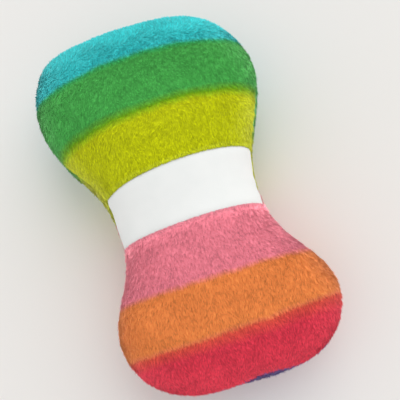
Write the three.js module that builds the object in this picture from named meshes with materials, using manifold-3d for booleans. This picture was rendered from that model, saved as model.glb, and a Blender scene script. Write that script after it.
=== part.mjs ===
// Squeaky plush dog toy: a stuffed bow-tie shape that lies on its back panel, with a bellows squeaker in
// its waist. Front: striped plush, a bare band across the waist, striped plush. Back: one plush panel.
// Millimetres, +Z up, +Y along the toy towards the top lobe, origin on the floor under the middle.

import * as THREE from 'three';
import { mergeVertices } from 'three/addons/utils/BufferGeometryUtils.js';
import Module from 'manifold-3d';

const wasm = await Module();
wasm.setup();

// The stuffed form, measured over the pile
const toyLength = 200;
const topLobeHalfWidth = 65;
const bottomLobeHalfWidth = 64.2;
const lobeSway = 2.4;
const waistHalfWidth = 37.9;
const waistY = -15.8;
const waistReachTopLeft = 46.7;
const waistReachTopRight = 54;
const waistReachBottom = 38;
const topLobeHalfHeight = 31.5;
const bottomLobeHalfHeight = 36;
const waistHalfHeight = 27;
const waistHeightReach = 33;
const lobeBlendLength = 30;
const restCutDepth = 0.5;

// Pure numbers of the form: how square its ends and section are, how sharply the waist turns, how far it leans.
// It was stuffed by hand, so its left is fuller at the ends than its right.
const leftEndPower = 3.8;
const rightEndPower = 2.95;
const endHeightPower = 3;
const waistPower = 2.5;
const sectionPower = 2.1;
const sidewaysLean = -0.089;
const upperSeamSkewAngle = 0.073;
const lowerSeamSkewAngle = 0.036;

// The sewn skins
const plushThickness = 2.5;
const bandRecess = 0.8;
const foldThickness = 1.2;
const seamAllowance = 6.5;
const seamGap = 0.3;
const bandTopY = 8.3;
const bandBottomY = -21.6;

// The threads, each in a channel under the fold of its seam
const threadDepth = 2.2;
const threadRadius = 0.35;
const threadClearance = 0.25;
const turningGapLength = 60;
const threadEndGap = 2;
const handStitchPitch = 6;
const handStitchRise = 0.15;

// The stuffing
const softGap = 0.3;
const topFillStartY = 26;
const bottomFillStartY = -42;

// The bellows squeaker
const squeakerY = -6.75;
const bellowsRadius = 22.5;
const pleatDepth = 5;
const pleatCount = 3;
const bellowsWallThickness = 0.9;
const bellowsHeight = 20;
const crownThickness = 1.8;
const crownDome = 0.9;
const crownRimWidth = 4;
const baseThickness = 1.8;
const pocketClearance = 0.8;
const padClearance = 0.3;

// The reed unit in the base
const housingRadius = 4.5;
const housingBoreRadius = 3.3;
const housingLength = 6.5;
const housingFlangeRadius = 6;
const housingFlangeThickness = 1.2;
const housingLeadIn = 0.4;
const housingClearance = 0.15;
const reedClearance = 0.15;
const toneboardLength = 7;
const toneChannelWidth = 2;
const toneChannelDepth = 1.5;
const toneChannelTipWall = 0.8;
const tongueThickness = 0.2;
const tongueWidth = 3.5;
const tongueLength = 4.6;
const tongueRootLength = 0.4;
const wedgeLength = 2.4;

// Numbers of facets and rings
const formRings = 28;
const formSides = 24;
const innerRings = 22;
const innerSides = 16;
const threadSides = 6;
const handStitchSteps = 36;
const bellowsSides = 28;
const pleatSteps = 4;
const reedSides = 24;

// One overrun serves all the cuts
const overrun = toyLength;

const halfLength = toyLength / 2;
const channelHalfWidth = threadRadius + threadClearance;
const fillInset = plushThickness + softGap;
const fillCoreInset = plushThickness + seamAllowance + softGap;
const squeakerBottom = -bellowsHeight / 2;
const squeakerTop = bellowsHeight / 2;
const pocketRadius = bellowsRadius + pocketClearance;
const squeakerX = middleXAt(squeakerY);
const bottomEndX = middleXAt(-halfLength);
const upperSeam = { y: bandTopY, skewAngle: upperSeamSkewAngle };
const lowerSeam = { y: bandBottomY, skewAngle: lowerSeamSkewAngle };

// Half the width and half the height of the form at a place along it, drawn in everywhere by an inset

function lobeValue(bottomValue, topValue, y) {
  return bottomValue + (topValue - bottomValue) * (1 + Math.tanh(y / lobeBlendLength)) / 2;
}

function halfWidthAt(y, inset, onRight) {
  const lobe = lobeValue(bottomLobeHalfWidth, topLobeHalfWidth, y);
  const reachTop = onRight ? waistReachTopRight : waistReachTopLeft;
  const reach = y > waistY ? reachTop : waistReachBottom;
  const dip = Math.exp(-(Math.abs((y - waistY) / reach) ** waistPower));
  const side = lobe - (lobe - waistHalfWidth) * dip - inset;
  const along = Math.min(1, Math.abs(y) / (halfLength - inset));
  const endPower = onRight ? rightEndPower : leftEndPower;
  return side * (1 - along ** endPower) ** (1 / endPower);
}

// How much of the waist's sinking is left at a place along the form, 1 at the waist and 0 far from it
function waistDip(y) {
  return Math.exp(-(((y - waistY) / waistHeightReach) ** 2));
}

// The line between the two sides. It leans, and both lobes stand to its right.
function middleXAt(y) {
  return sidewaysLean * y + lobeSway * (1 - waistDip(y));
}

function halfHeightAt(y, inset) {
  const lobe = lobeValue(bottomLobeHalfHeight, topLobeHalfHeight, y);
  const face = lobe - (lobe - waistHalfHeight) * waistDip(y) - inset;
  const along = Math.min(1, Math.abs(y) / (halfLength - inset));
  return face * Math.sqrt(1 - along ** endHeightPower);
}

// A point of the form's surface. The angle runs round the section from +X over the front.
function surfacePoint(y, angle, inset) {
  const side = Math.cos(angle);
  const share = Math.sign(side) * Math.abs(side) ** (2 / sectionPower);
  const x = middleXAt(y) + halfWidthAt(y, inset, side > 0) * share;
  return new THREE.Vector3(x, y, halfHeightAt(y, inset) * Math.sin(angle));
}

// Rings lie closer towards both ends, where the form rounds off
function ringPlace(ringShare, inset) {
  return (halfLength - inset) * Math.sin(Math.PI * (ringShare - 1 / 2));
}

// The whole stuffed form as one closed loft of rings along Y
function formGeometry(inset, rings, sides) {
  const points = [];
  for (let ring = 1; ring < rings; ring += 1) {
    for (let side = 0; side < sides; side += 1) {
      const point = surfacePoint(ringPlace(ring / rings, inset), 2 * Math.PI * side / sides, inset);
      const onSeam = side % (sides / 2) === 0;
      points.push(point.x, point.y, onSeam ? 0 : point.z);
    }
  }
  const bottomPole = points.length / 3;
  const topPole = bottomPole + 1;
  for (const end of [-1, 1]) {
    const endY = end * (halfLength - inset);
    points.push(middleXAt(endY), endY, 0);
  }
  const triangles = [];
  const lastRow = (rings - 2) * sides;
  for (let side = 0; side < sides; side += 1) {
    const next = (side + 1) % sides;
    triangles.push(bottomPole, side, next, topPole, lastRow + next, lastRow + side);
    for (let row = 0; row < lastRow; row += sides) {
      const above = row + sides;
      triangles.push(row + side, above + side, above + next);
      triangles.push(row + side, above + next, row + next);
    }
  }
  const geometry = new THREE.BufferGeometry();
  geometry.setAttribute('position', new THREE.Float32BufferAttribute(points, 3));
  geometry.setIndex(triangles);
  return geometry;
}

// Geometry to a solid for cutting, and back

function solidOf(geometry) {
  const bare = geometry.clone();
  bare.deleteAttribute('normal');
  bare.deleteAttribute('uv');
  const merged = mergeVertices(bare);
  const vertProperties = new Float32Array(merged.attributes.position.array);
  const triVerts = new Uint32Array(merged.index.array);
  return new wasm.Manifold(new wasm.Mesh({ numProp: 3, vertProperties, triVerts }));
}

function geometryOf(solid) {
  const mesh = solid.getMesh();
  const geometry = new THREE.BufferGeometry();
  geometry.setAttribute('position', new THREE.BufferAttribute(new Float32Array(mesh.vertProperties), 3));
  geometry.setIndex(new THREE.BufferAttribute(new Uint32Array(mesh.triVerts), 1));
  geometry.computeVertexNormals();
  return geometry;
}

function outerForm(inset) {
  return solidOf(formGeometry(inset, formRings, formSides));
}

// Hidden surfaces follow the same form with fewer facets
function innerForm(inset) {
  return solidOf(formGeometry(inset, innerRings, innerSides));
}

// A block that spans everything but for its reach along Z
function levelSlab(lowZ, highZ) {
  const slab = new THREE.BoxGeometry(2 * overrun, 2 * overrun, highZ - lowZ);
  return solidOf(slab.translate(0, 0, (lowZ + highZ) / 2));
}

// A block of everything towards the top lobe from a band seam, or from a line beside it
function beyondSeam(seam, offset) {
  const block = new THREE.BoxGeometry(2 * overrun, 2 * overrun, 2 * overrun);
  return solidOf(block.translate(0, seam.y + offset + overrun, 0).rotateZ(seam.skewAngle));
}

function bandSeamSlab(seam, halfWidth) {
  return beyondSeam(seam, -halfWidth).subtract(beyondSeam(seam, halfWidth));
}

const liningForm = innerForm(plushThickness);
const allowanceForm = innerForm(plushThickness + seamAllowance);
const channelWall = seamWall(channelHalfWidth);
const seamHeight = tallestHalfHeight() - restCutDepth;

// A thin wall at the depth of the threads, which the seams cut their channels and threads from
function seamWall(halfWidth) {
  return innerForm(threadDepth - halfWidth).subtract(innerForm(threadDepth + halfWidth));
}

// The height of the fullest ring. The floor cuts the form flat just inside it.
function tallestHalfHeight() {
  let tallest = 0;
  for (let ring = 1; ring < formRings; ring += 1) {
    tallest = Math.max(tallest, halfHeightAt(ringPlace(ring / formRings, 0), 0));
  }
  return tallest;
}

// A sewn skin: a shell with its seam allowances folded in, along the side seam and across at both band seams
function skin(outerInset, region, foldedRegion) {
  const sideChannel = levelSlab(-channelHalfWidth, channelHalfWidth);
  const upperChannel = bandSeamSlab(upperSeam, channelHalfWidth).subtract(levelSlab(-overrun, 0));
  const lowerChannel = bandSeamSlab(lowerSeam, channelHalfWidth).subtract(levelSlab(-overrun, 0));
  const channels = sideChannel.add(upperChannel).add(lowerChannel).intersect(channelWall);
  return outerForm(outerInset)
    .intersect(region)
    .subtract(liningForm.intersect(foldedRegion))
    .subtract(allowanceForm)
    .subtract(channels);
}

// A front panel over its stretch of the toy, which is a function of how far its edges at the band seams draw in
function frontSkin(outerInset, stretch) {
  const region = stretch(seamGap / 2).intersect(levelSlab(0, overrun));
  const foldedStretch = stretch(seamGap / 2 + foldThickness);
  return skin(outerInset, region, foldedStretch.intersect(levelSlab(foldThickness, overrun)));
}

function frontTopPanel() {
  return geometryOf(frontSkin(0, (drawn) => beyondSeam(upperSeam, drawn)));
}

function frontCentreBand() {
  const betweenSeams = (drawn) => beyondSeam(lowerSeam, drawn).subtract(beyondSeam(upperSeam, -drawn));
  return geometryOf(frontSkin(bandRecess, betweenSeams));
}

function frontBottomPanel() {
  const beforeSeam = (drawn) => levelSlab(-overrun, overrun).subtract(beyondSeam(lowerSeam, -drawn));
  return geometryOf(frontSkin(0, beforeSeam));
}

function backPanel() {
  return geometryOf(skin(0, levelSlab(-seamHeight, 0), levelSlab(-overrun, -foldThickness)));
}

// The machine seam all round, drawn as the narrow cord that its stitches make. It stops at the turning gap.
function perimeterSeamThread() {
  const gap = new THREE.BoxGeometry(turningGapLength, halfLength, 2 * overrun);
  const gapBlock = solidOf(gap.translate(bottomEndX, -halfLength, 0));
  const line = levelSlab(-threadRadius, threadRadius).subtract(gapBlock);
  return geometryOf(seamWall(threadRadius).intersect(line));
}

// A machine seam across the front, from just over one side fold to just over the other
function bandSeamThread(seam) {
  const line = bandSeamSlab(seam, threadRadius);
  const overFolds = levelSlab(foldThickness + threadEndGap, overrun);
  return geometryOf(seamWall(threadRadius).intersect(line).intersect(overFolds));
}

// The side seam under its fold, as straight stretches that follow the facets of its channel
function sideSeamPath() {
  const right = [];
  const left = [];
  for (let ring = 0; ring < innerRings; ring += 1) {
    right.push(surfacePoint(ringPlace(ring / innerRings, threadDepth), 0, threadDepth));
    left.unshift(surfacePoint(ringPlace((ring + 1) / innerRings, threadDepth), Math.PI, threadDepth));
  }
  return new THREE.CatmullRomCurve3([...right, ...left], true, 'catmullrom', 0);
}

// The hand stitch over the turning gap: its thread rises into one fold and falls into the other
function closingStitch() {
  const seam = sideSeamPath();
  const length = seam.getLength();
  const reach = turningGapLength / 2 - threadEndGap;
  const points = [];
  for (let step = 0; step <= handStitchSteps; step += 1) {
    const distance = reach * (2 * step / handStitchSteps - 1);
    const rise = handStitchRise * Math.sin(2 * Math.PI * (distance + reach) / handStitchPitch);
    points.push(seam.getPointAt((distance / length + 1) % 1).setZ(rise));
  }
  const section = new THREE.Shape();
  section.absarc(0, 0, threadRadius, 0, 2 * Math.PI);
  return new THREE.ExtrudeGeometry(section, {
    curveSegments: threadSides / 2,
    steps: handStitchSteps,
    bevelEnabled: false,
    extrudePath: new THREE.CatmullRomCurve3(points),
  });
}

// An upright round bar on the squeaker's axis, for the stuffing's cuts
function squeakerBar(radius, lowZ, highZ) {
  const bar = new THREE.CylinderGeometry(radius, radius, highZ - lowZ, bellowsSides);
  bar.rotateX(Math.PI / 2).translate(squeakerX, squeakerY, (lowZ + highZ) / 2);
  return solidOf(bar);
}

// All the stuffing before it is parted: the form inside the skins, grooved for their folded allowances
function stuffing() {
  const grooveHalf = foldThickness + softGap;
  const bandGrooveHalf = seamGap / 2 + grooveHalf;
  const upperGroove = bandSeamSlab(upperSeam, bandGrooveHalf).subtract(levelSlab(-overrun, 0));
  const lowerGroove = bandSeamSlab(lowerSeam, bandGrooveHalf).subtract(levelSlab(-overrun, 0));
  const grooves = levelSlab(-grooveHalf, grooveHalf).add(upperGroove).add(lowerGroove);
  return innerForm(fillInset).subtract(grooves).add(innerForm(fillCoreInset));
}

// A block that spans everything between two places along Y, square to the toy
function straightSlab(lowY, highY) {
  const slab = new THREE.BoxGeometry(2 * overrun, highY - lowY, 2 * overrun);
  return solidOf(slab.translate(0, (lowY + highY) / 2, 0));
}

const allStuffing = stuffing();

function fillTopLobe() {
  return geometryOf(allStuffing.intersect(straightSlab(topFillStartY + softGap / 2, overrun)));
}

function fillBottomLobe() {
  return geometryOf(allStuffing.intersect(straightSlab(-overrun, bottomFillStartY - softGap / 2)));
}

// The waist's stuffing, open to the front over the squeaker's pocket, with a recess for the reed's flange
function fillWaist() {
  const block = straightSlab(bottomFillStartY + softGap / 2, topFillStartY - softGap / 2);
  const pocket = squeakerBar(pocketRadius, squeakerBottom - softGap, overrun);
  const flangeRecessRadius = housingFlangeRadius + softGap;
  const flangeRecessFloor = squeakerBottom - housingFlangeThickness - softGap;
  const recess = squeakerBar(flangeRecessRadius, flangeRecessFloor, 0);
  return geometryOf(allStuffing.intersect(block).subtract(pocket).subtract(recess));
}

function fillPressPad() {
  const pad = squeakerBar(pocketRadius - padClearance, squeakerTop + softGap, overrun);
  return geometryOf(allStuffing.intersect(pad));
}

// A solid of revolution about the squeaker's axis, from points [radius, height]
function turned(outline, sides) {
  const points = outline.map(([radius, height]) => new THREE.Vector2(radius, height));
  const closed = outline[0][0] > 0 ? [...points, points[0].clone()] : points;
  const lathe = new THREE.LatheGeometry(closed, sides).rotateX(Math.PI / 2);
  return lathe.translate(squeakerX, squeakerY, 0);
}

// The crown: a plate with a low dome and a rim that stiffens it over the topmost pleat
function bellowsCrown() {
  const underside = squeakerTop - crownThickness;
  const rimStart = bellowsRadius - crownRimWidth;
  return turned([
    [0, underside],
    [rimStart, underside],
    [bellowsRadius - bellowsWallThickness, underside],
    [bellowsRadius, underside + bellowsWallThickness],
    [bellowsRadius, squeakerTop - crownDome],
    [rimStart, squeakerTop - crownDome],
    [rimStart / 2, squeakerTop - crownDome / 4],
    [0, squeakerTop],
  ], bellowsSides);
}

// Radius of the bellows' wall at a share of its height: full at both ends, drawn in between the pleats
function pleatRadius(share) {
  const wave = (1 - Math.cos(2 * Math.PI * pleatCount * share)) / 2;
  return bellowsRadius - bellowsWallThickness - pleatDepth * wave;
}

function bellowsWall() {
  const low = squeakerBottom + baseThickness;
  const high = squeakerTop - crownThickness;
  const steps = pleatCount * pleatSteps;
  const outside = [];
  const inside = [];
  for (let step = 0; step <= steps; step += 1) {
    const share = step / steps;
    const height = step === steps ? high : low + (high - low) * share;
    outside.push([pleatRadius(share), height]);
    inside.unshift([pleatRadius(share) - bellowsWallThickness, height]);
  }
  return turned([...outside, ...inside], bellowsSides);
}

// The base: a plate with a hole for the reed's housing and a rounded outer rim
function bellowsBase() {
  const holeRadius = housingRadius + housingClearance;
  const top = squeakerBottom + baseThickness;
  return turned([
    [holeRadius, squeakerBottom],
    [bellowsRadius - bellowsWallThickness, squeakerBottom],
    [bellowsRadius, squeakerBottom + bellowsWallThickness],
    [bellowsRadius - bellowsWallThickness, top],
    [holeRadius, top],
  ], bellowsSides);
}

// The housing: a barrel through the base, with its flange against the base's outside
function reedHousing() {
  const flangeBottom = squeakerBottom - housingFlangeThickness;
  const top = squeakerBottom + housingLength;
  return turned([
    [housingBoreRadius, flangeBottom],
    [housingFlangeRadius, flangeBottom],
    [housingFlangeRadius, squeakerBottom],
    [housingRadius, squeakerBottom],
    [housingRadius, top - housingLeadIn],
    [housingRadius - housingLeadIn, top],
    [housingBoreRadius, top],
  ], reedSides);
}

const reedBottom = squeakerBottom - housingFlangeThickness;
const toneFaceX = -tongueThickness / 2 - reedClearance;
const wedgeFaceX = tongueThickness / 2 + reedClearance;
const tongueRootZ = reedBottom + wedgeLength - tongueRootLength;
const tongueTipZ = tongueRootZ + tongueRootLength + tongueLength;

// A half-round bar in the housing's bore, on one side of a flat face across it
function halfRoundBar(faceX, length) {
  const radius = housingBoreRadius - reedClearance;
  const halfAngle = Math.acos(Math.abs(faceX) / radius);
  const middle = faceX > 0 ? 0 : Math.PI;
  const outline = new THREE.Shape();
  outline.absarc(0, 0, radius, middle - halfAngle, middle + halfAngle);
  const settings = { depth: length, bevelEnabled: false, curveSegments: reedSides };
  return new THREE.ExtrudeGeometry(outline, settings).translate(squeakerX, squeakerY, reedBottom);
}

// The toneboard: its flat face lies behind the tongue, and its air channel runs out under the wedge
function reedToneboard() {
  const channelTop = tongueTipZ - toneChannelTipWall;
  const channelHeight = channelTop - reedBottom + overrun;
  const channel = new THREE.BoxGeometry(2 * toneChannelDepth, toneChannelWidth, channelHeight);
  channel.translate(squeakerX + toneFaceX, squeakerY, channelTop - channelHeight / 2);
  return geometryOf(solidOf(halfRoundBar(toneFaceX, toneboardLength)).subtract(solidOf(channel)));
}

function reedWedge() {
  return halfRoundBar(wedgeFaceX, wedgeLength);
}

// The tongue: a thin springy blade with a round tip, its root just inside the clamp
function reedTongue() {
  const halfWidth = tongueWidth / 2;
  const outline = new THREE.Shape();
  outline.moveTo(-tongueRootZ, -halfWidth);
  outline.lineTo(-tongueTipZ + halfWidth, -halfWidth);
  outline.absarc(-tongueTipZ + halfWidth, 0, halfWidth, 3 * Math.PI / 2, Math.PI / 2, true);
  outline.lineTo(-tongueRootZ, halfWidth);
  const settings = { depth: tongueThickness, bevelEnabled: false, curveSegments: reedSides / 2 };
  const blade = new THREE.ExtrudeGeometry(outline, settings).translate(0, 0, -tongueThickness / 2);
  return blade.rotateY(Math.PI / 2).translate(squeakerX, squeakerY, 0);
}

// The toy as named meshes

const plushFinish = { roughness: 0.95, metalness: 0 };
const smoothFabricFinish = { roughness: 0.85, metalness: 0 };
const fibreFinish = { roughness: 1, metalness: 0 };
const mouldedFinish = { roughness: 0.4, metalness: 0 };

const pieces = [
  ['front_top_panel', frontTopPanel, 0x469b40, plushFinish],
  ['front_centre_band', frontCentreBand, 0xebeeea, smoothFabricFinish],
  ['front_bottom_panel', frontBottomPanel, 0xe47c42, plushFinish],
  ['back_panel', backPanel, 0x7a5fb5, plushFinish],
  ['perimeter_seam_thread', perimeterSeamThread, 0xf1efe8, smoothFabricFinish],
  ['upper_band_seam_thread', () => bandSeamThread(upperSeam), 0xe9e7df, smoothFabricFinish],
  ['lower_band_seam_thread', () => bandSeamThread(lowerSeam), 0xe2e0d8, smoothFabricFinish],
  ['closing_stitch', closingStitch, 0xd8c9a8, smoothFabricFinish],
  ['fill_top_lobe', fillTopLobe, 0xf4f4f2, fibreFinish],
  ['fill_bottom_lobe', fillBottomLobe, 0xeeeeec, fibreFinish],
  ['fill_waist', fillWaist, 0xe6e6e4, fibreFinish],
  ['fill_press_pad', fillPressPad, 0xfafaf8, fibreFinish],
  ['bellows_crown', bellowsCrown, 0xe9edf0, mouldedFinish],
  ['bellows_wall', bellowsWall, 0xdfe6ea, mouldedFinish],
  ['bellows_base', bellowsBase, 0xd5dde2, mouldedFinish],
  ['reed_housing', reedHousing, 0xf7f7f5, mouldedFinish],
  ['reed_toneboard', reedToneboard, 0xd0d2d4, mouldedFinish],
  ['reed_tongue', reedTongue, 0xc9a45c, mouldedFinish],
  ['reed_wedge', reedWedge, 0x9aa0a6, mouldedFinish],
];

// The lean and the sway set the outline off centre, so the middle of its box is put over the origin
function boxMiddleX() {
  const form = formGeometry(0, formRings, formSides);
  const outline = new THREE.Box3().setFromBufferAttribute(form.attributes.position);
  return (outline.min.x + outline.max.x) / 2;
}

function dogToy() {
  const toy = new THREE.Group();
  toy.position.set(-boxMiddleX(), 0, seamHeight);
  for (const [name, shape, color, finish] of pieces) {
    const mesh = new THREE.Mesh(shape(), new THREE.MeshStandardMaterial({ color, ...finish }));
    mesh.name = name;
    toy.add(mesh);
  }
  return toy;
}

export default dogToy();
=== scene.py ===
"""Looks of a squeaky plush dog toy: a stuffed dumbbell of striped plush with a bare white band at its waist.

Metres, +Z up, +Y along the toy towards its turquoise end. The toy lies on its back panel.
"""

import logging
import math
from dataclasses import dataclass, field, replace
from enum import Enum

import bmesh
import bpy
import numpy as np
from mathutils import Matrix, Vector


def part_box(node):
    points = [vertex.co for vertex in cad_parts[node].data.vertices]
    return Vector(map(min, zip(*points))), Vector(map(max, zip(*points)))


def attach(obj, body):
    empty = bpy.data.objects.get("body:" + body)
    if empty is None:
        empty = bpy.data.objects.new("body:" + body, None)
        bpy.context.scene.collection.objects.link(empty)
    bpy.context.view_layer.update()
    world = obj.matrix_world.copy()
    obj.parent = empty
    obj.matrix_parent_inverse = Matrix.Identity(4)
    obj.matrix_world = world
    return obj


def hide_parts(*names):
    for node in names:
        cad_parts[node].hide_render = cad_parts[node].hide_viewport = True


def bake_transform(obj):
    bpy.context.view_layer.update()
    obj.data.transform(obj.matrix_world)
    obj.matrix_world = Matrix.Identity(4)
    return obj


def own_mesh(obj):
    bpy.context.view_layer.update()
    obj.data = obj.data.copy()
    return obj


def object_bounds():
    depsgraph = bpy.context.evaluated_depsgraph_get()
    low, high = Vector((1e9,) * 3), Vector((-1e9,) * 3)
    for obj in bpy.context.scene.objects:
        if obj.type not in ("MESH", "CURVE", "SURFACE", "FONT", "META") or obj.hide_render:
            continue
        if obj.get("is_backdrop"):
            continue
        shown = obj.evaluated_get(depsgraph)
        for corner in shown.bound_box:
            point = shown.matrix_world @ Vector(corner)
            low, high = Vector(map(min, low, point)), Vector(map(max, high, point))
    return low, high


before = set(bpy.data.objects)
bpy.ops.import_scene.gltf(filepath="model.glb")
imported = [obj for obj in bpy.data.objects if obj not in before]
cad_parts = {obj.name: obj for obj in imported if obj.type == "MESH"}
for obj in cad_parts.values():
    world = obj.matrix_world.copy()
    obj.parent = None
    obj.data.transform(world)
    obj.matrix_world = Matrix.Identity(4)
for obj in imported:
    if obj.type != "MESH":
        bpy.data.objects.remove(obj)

MM = 0.001
FULL_TURN = 2 * math.pi
TINY = 1e-12
WELD = 0.01 * MM
OFF_AXIS = (0.31, 0.17, 0.94)
REST_BODY = "root"
PRESS_BODY = "press"
BAKE_MAP = "OFBake"

log = logging.getLogger("dog_toy")

Piece = bpy.types.Object
Node = bpy.types.Node
Socket = bpy.types.NodeSocket
Tree = bpy.types.NodeTree


# Small helpers for colours, nodes and meshes


def linear(hex_code: str) -> tuple[float, float, float, float]:
    """Turns an sRGB hex colour into a linear one.

    Args:
        hex_code: six hex digits.

    Returns:
        Linear red, green, blue and a full alpha.
    """
    channels = [int(hex_code[i:i + 2], 16) / 255 for i in (0, 2, 4)]
    bright = [c / 12.92 if c <= 0.04045 else ((c + 0.055) / 1.055) ** 2.4 for c in channels]
    return (*bright, 1.0)


def add_node(
    tree: Tree,
    kind: str,
    sockets: dict[str | int, object] | None = None,
    links: dict[str | int, Socket] | None = None,
    **settings: object,
) -> Node:
    """Adds a shader node with its settings and links.

    Args:
        tree: the node tree that gets the node.
        kind: the node's type without its ShaderNode prefix.
        sockets: values for its input sockets.
        links: output sockets that feed its input sockets.
        settings: values for its own properties.

    Returns:
        The new node.
    """
    node = tree.nodes.new("ShaderNode" + kind)
    for name, value in settings.items():
        setattr(node, name, value)
    for key, value in (sockets or {}).items():
        node.inputs[key].default_value = value
    for key, source in (links or {}).items():
        tree.links.new(source, node.inputs[key])
    return node


def add_row(tree: Tree, kind: str, start: Socket, *steps: tuple[str, float | Socket]) -> Socket:
    """Adds nodes in a row, each of which works on what the one before it gives.

    Args:
        tree: the node tree that gets the nodes.
        kind: their type without its ShaderNode prefix.
        start: the output socket that feeds the first.
        steps: each node's operation, and the number or output socket that it takes besides.

    Returns:
        The last node's output socket.
    """
    value = start
    for operation, other in steps:
        node = add_node(tree, kind, links={0: value}, operation=operation)
        if isinstance(other, Socket):
            tree.links.new(other, node.inputs[1])
        else:
            node.inputs[1].default_value = other
        value = node.outputs[0]
    return value


def mesh_object(name: str, points: np.ndarray, faces: np.ndarray) -> Piece:
    """Makes an object from points and faces that all have the same number of corners.

    Args:
        name: the piece's name.
        points: an array of places, one row each.
        faces: an array of point numbers, one row for each face.

    Returns:
        The new object, linked to the scene.
    """
    mesh = bpy.data.meshes.new(name)
    mesh.vertices.add(len(points))
    mesh.vertices.foreach_set("co", np.asarray(points, np.float32).ravel())
    corners = faces.shape[1]
    mesh.loops.add(faces.size)
    mesh.loops.foreach_set("vertex_index", np.asarray(faces, np.int32).ravel())
    mesh.polygons.add(len(faces))
    mesh.polygons.foreach_set("loop_start", np.arange(0, faces.size, corners, dtype=np.int32))
    mesh.update(calc_edges=True)
    mesh.validate()
    made = bpy.data.objects.new(name, mesh)
    bpy.context.scene.collection.objects.link(made)
    return made


def apply_modifiers(piece: Piece) -> None:
    """Replaces a piece's mesh by what its modifiers make of it.

    Args:
        piece: the object whose modifiers are applied and removed.
    """
    shaped = piece.evaluated_get(bpy.context.evaluated_depsgraph_get())
    mesh = bpy.data.meshes.new_from_object(shaped)
    mesh.name = piece.name
    piece.modifiers.clear()
    piece.data = mesh


def clean(piece: Piece, capped: bool = False) -> None:
    """Joins points that lie together and turns all faces outward.

    Args:
        piece: the object to clean.
        capped: whether its open ends are closed too.
    """
    work = bmesh.new()
    work.from_mesh(piece.data)
    bmesh.ops.remove_doubles(work, verts=work.verts, dist=WELD)
    if capped:
        bmesh.ops.holes_fill(work, edges=work.edges, sides=0)
    bmesh.ops.recalc_face_normals(work, faces=work.faces)
    work.to_mesh(piece.data)
    work.free()


def shade_smooth(piece: Piece) -> None:
    """Shades every face of a piece smooth."""
    piece.data.polygons.foreach_set("use_smooth", np.ones(len(piece.data.polygons), bool))


def grid_faces(rows: int, columns: int) -> np.ndarray:
    """Numbers the four corners of each cell of a grid of points.

    Args:
        rows: rows of points.
        columns: points in a row.

    Returns:
        One row of four point numbers for each cell.
    """
    first = (np.arange(rows - 1)[:, None] * columns + np.arange(columns - 1)[None, :]).ravel()
    return np.stack([first, first + columns, first + columns + 1, first + 1], axis=1)


def ring_faces(rings: int, sides: int, joined: bool = False) -> np.ndarray:
    """Numbers the four corners of each face between rings of points.

    Args:
        rings: how many rings there are.
        sides: points in a ring.
        joined: whether the last ring is joined to the first.

    Returns:
        One row of four point numbers for each face.
    """
    row = np.arange(rings if joined else rings - 1)[:, None]
    near, far = row * sides, (row + 1) % rings * sides
    side, following = np.arange(sides)[None], (np.arange(sides) + 1)[None] % sides
    return np.stack([near + side, near + following, far + following, far + side], axis=2).reshape(-1, 4)


def unit(vectors: np.ndarray) -> np.ndarray:
    """Scales vectors to length one."""
    return vectors / np.maximum(np.linalg.norm(vectors, axis=-1, keepdims=True), TINY)


def travelled(line: np.ndarray) -> np.ndarray:
    """Measures how far each point of a line lies along it."""
    return np.concatenate([[0], np.cumsum(np.linalg.norm(np.diff(line, axis=0), axis=1))])


def tube(name: str, path: np.ndarray, radius: float, sides: int) -> Piece:
    """Sweeps a round section along a path that never runs along OFF_AXIS.

    Args:
        name: the piece's name.
        path: the points of the centreline.
        radius: the section's radius.
        sides: corners of the section.

    Returns:
        The tube, with capped ends.
    """
    ahead = unit(np.gradient(path, axis=0))
    across = unit(np.cross(ahead, np.array(OFF_AXIS)))
    above = np.cross(ahead, across)
    turn = (np.arange(sides) / sides * FULL_TURN)[None, :, None]
    ring = across[:, None] * np.cos(turn) + above[:, None] * np.sin(turn)
    points = (path[:, None] + radius * ring).reshape(-1, 3)
    made = mesh_object(name, points, ring_faces(len(path), sides))
    clean(made, capped=True)
    shade_smooth(made)
    return made


def revolved(name: str, profile: np.ndarray, centre: Vector, segments: int) -> Piece:
    """Turns a closed profile about an upright axis.

    Args:
        name: the piece's name.
        profile: radius and height of each corner, in order round the section.
        centre: a point of the axis, from which heights count.
        segments: steps of the turn.

    Returns:
        A closed solid of revolution.
    """
    turn = np.arange(segments) / segments * FULL_TURN
    ring = np.stack([np.cos(turn), np.sin(turn)], axis=1)
    flat = profile[:, :1, None] * ring[None]
    height = np.broadcast_to(profile[:, 1:, None], (len(profile), segments, 1))
    points = np.concatenate([flat, height], axis=2).reshape(-1, 3) + np.array(centre)
    made = mesh_object(name, points, ring_faces(len(profile), segments, joined=True))
    clean(made)
    shade_smooth(made)
    return made


# Finishes


class Hue(Enum):
    """The dyes of the printed plush as sRGB hex colours.

    They are brighter than the plush looks, because the pile shades itself.
    """

    TURQUOISE = "2fcdd0"
    TURQUOISE_EDGE = "3acfc8"
    GREEN = "4cb651"
    GREEN_EDGE = "35b462"
    GREEN_TO_LIME = "74b008"
    LIME_TO_GREEN = "a8cc12"
    LIME = "d2d900"
    LIME_RIM = "dde622"
    PINK = "ff8b9c"
    PINK_RIM = "ff93a3"
    ORANGE = "ff924c"
    ORANGE_TO_RED = "ff8e58"
    RED_TO_ORANGE = "f05848"
    RED = "f03e54"
    PURPLE = "8a78c6"


@dataclass(frozen=True)
class Edge:
    """Where the print turns from one dye to the next along the toy, with the lines that the dyes leave there.

    The near dye reaches from the edge before it up to near_line short of this one, and the far dye starts
    far_line past it. Between them lie the edge's own two dyes, which turn into each other over the blur.
    """

    at: float
    near_dye: Hue
    near_edge: Hue
    far_edge: Hue
    far_dye: Hue
    near_line: float = 1.2 * MM
    far_line: float = 1.2 * MM
    blur: float = 1.6 * MM


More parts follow.
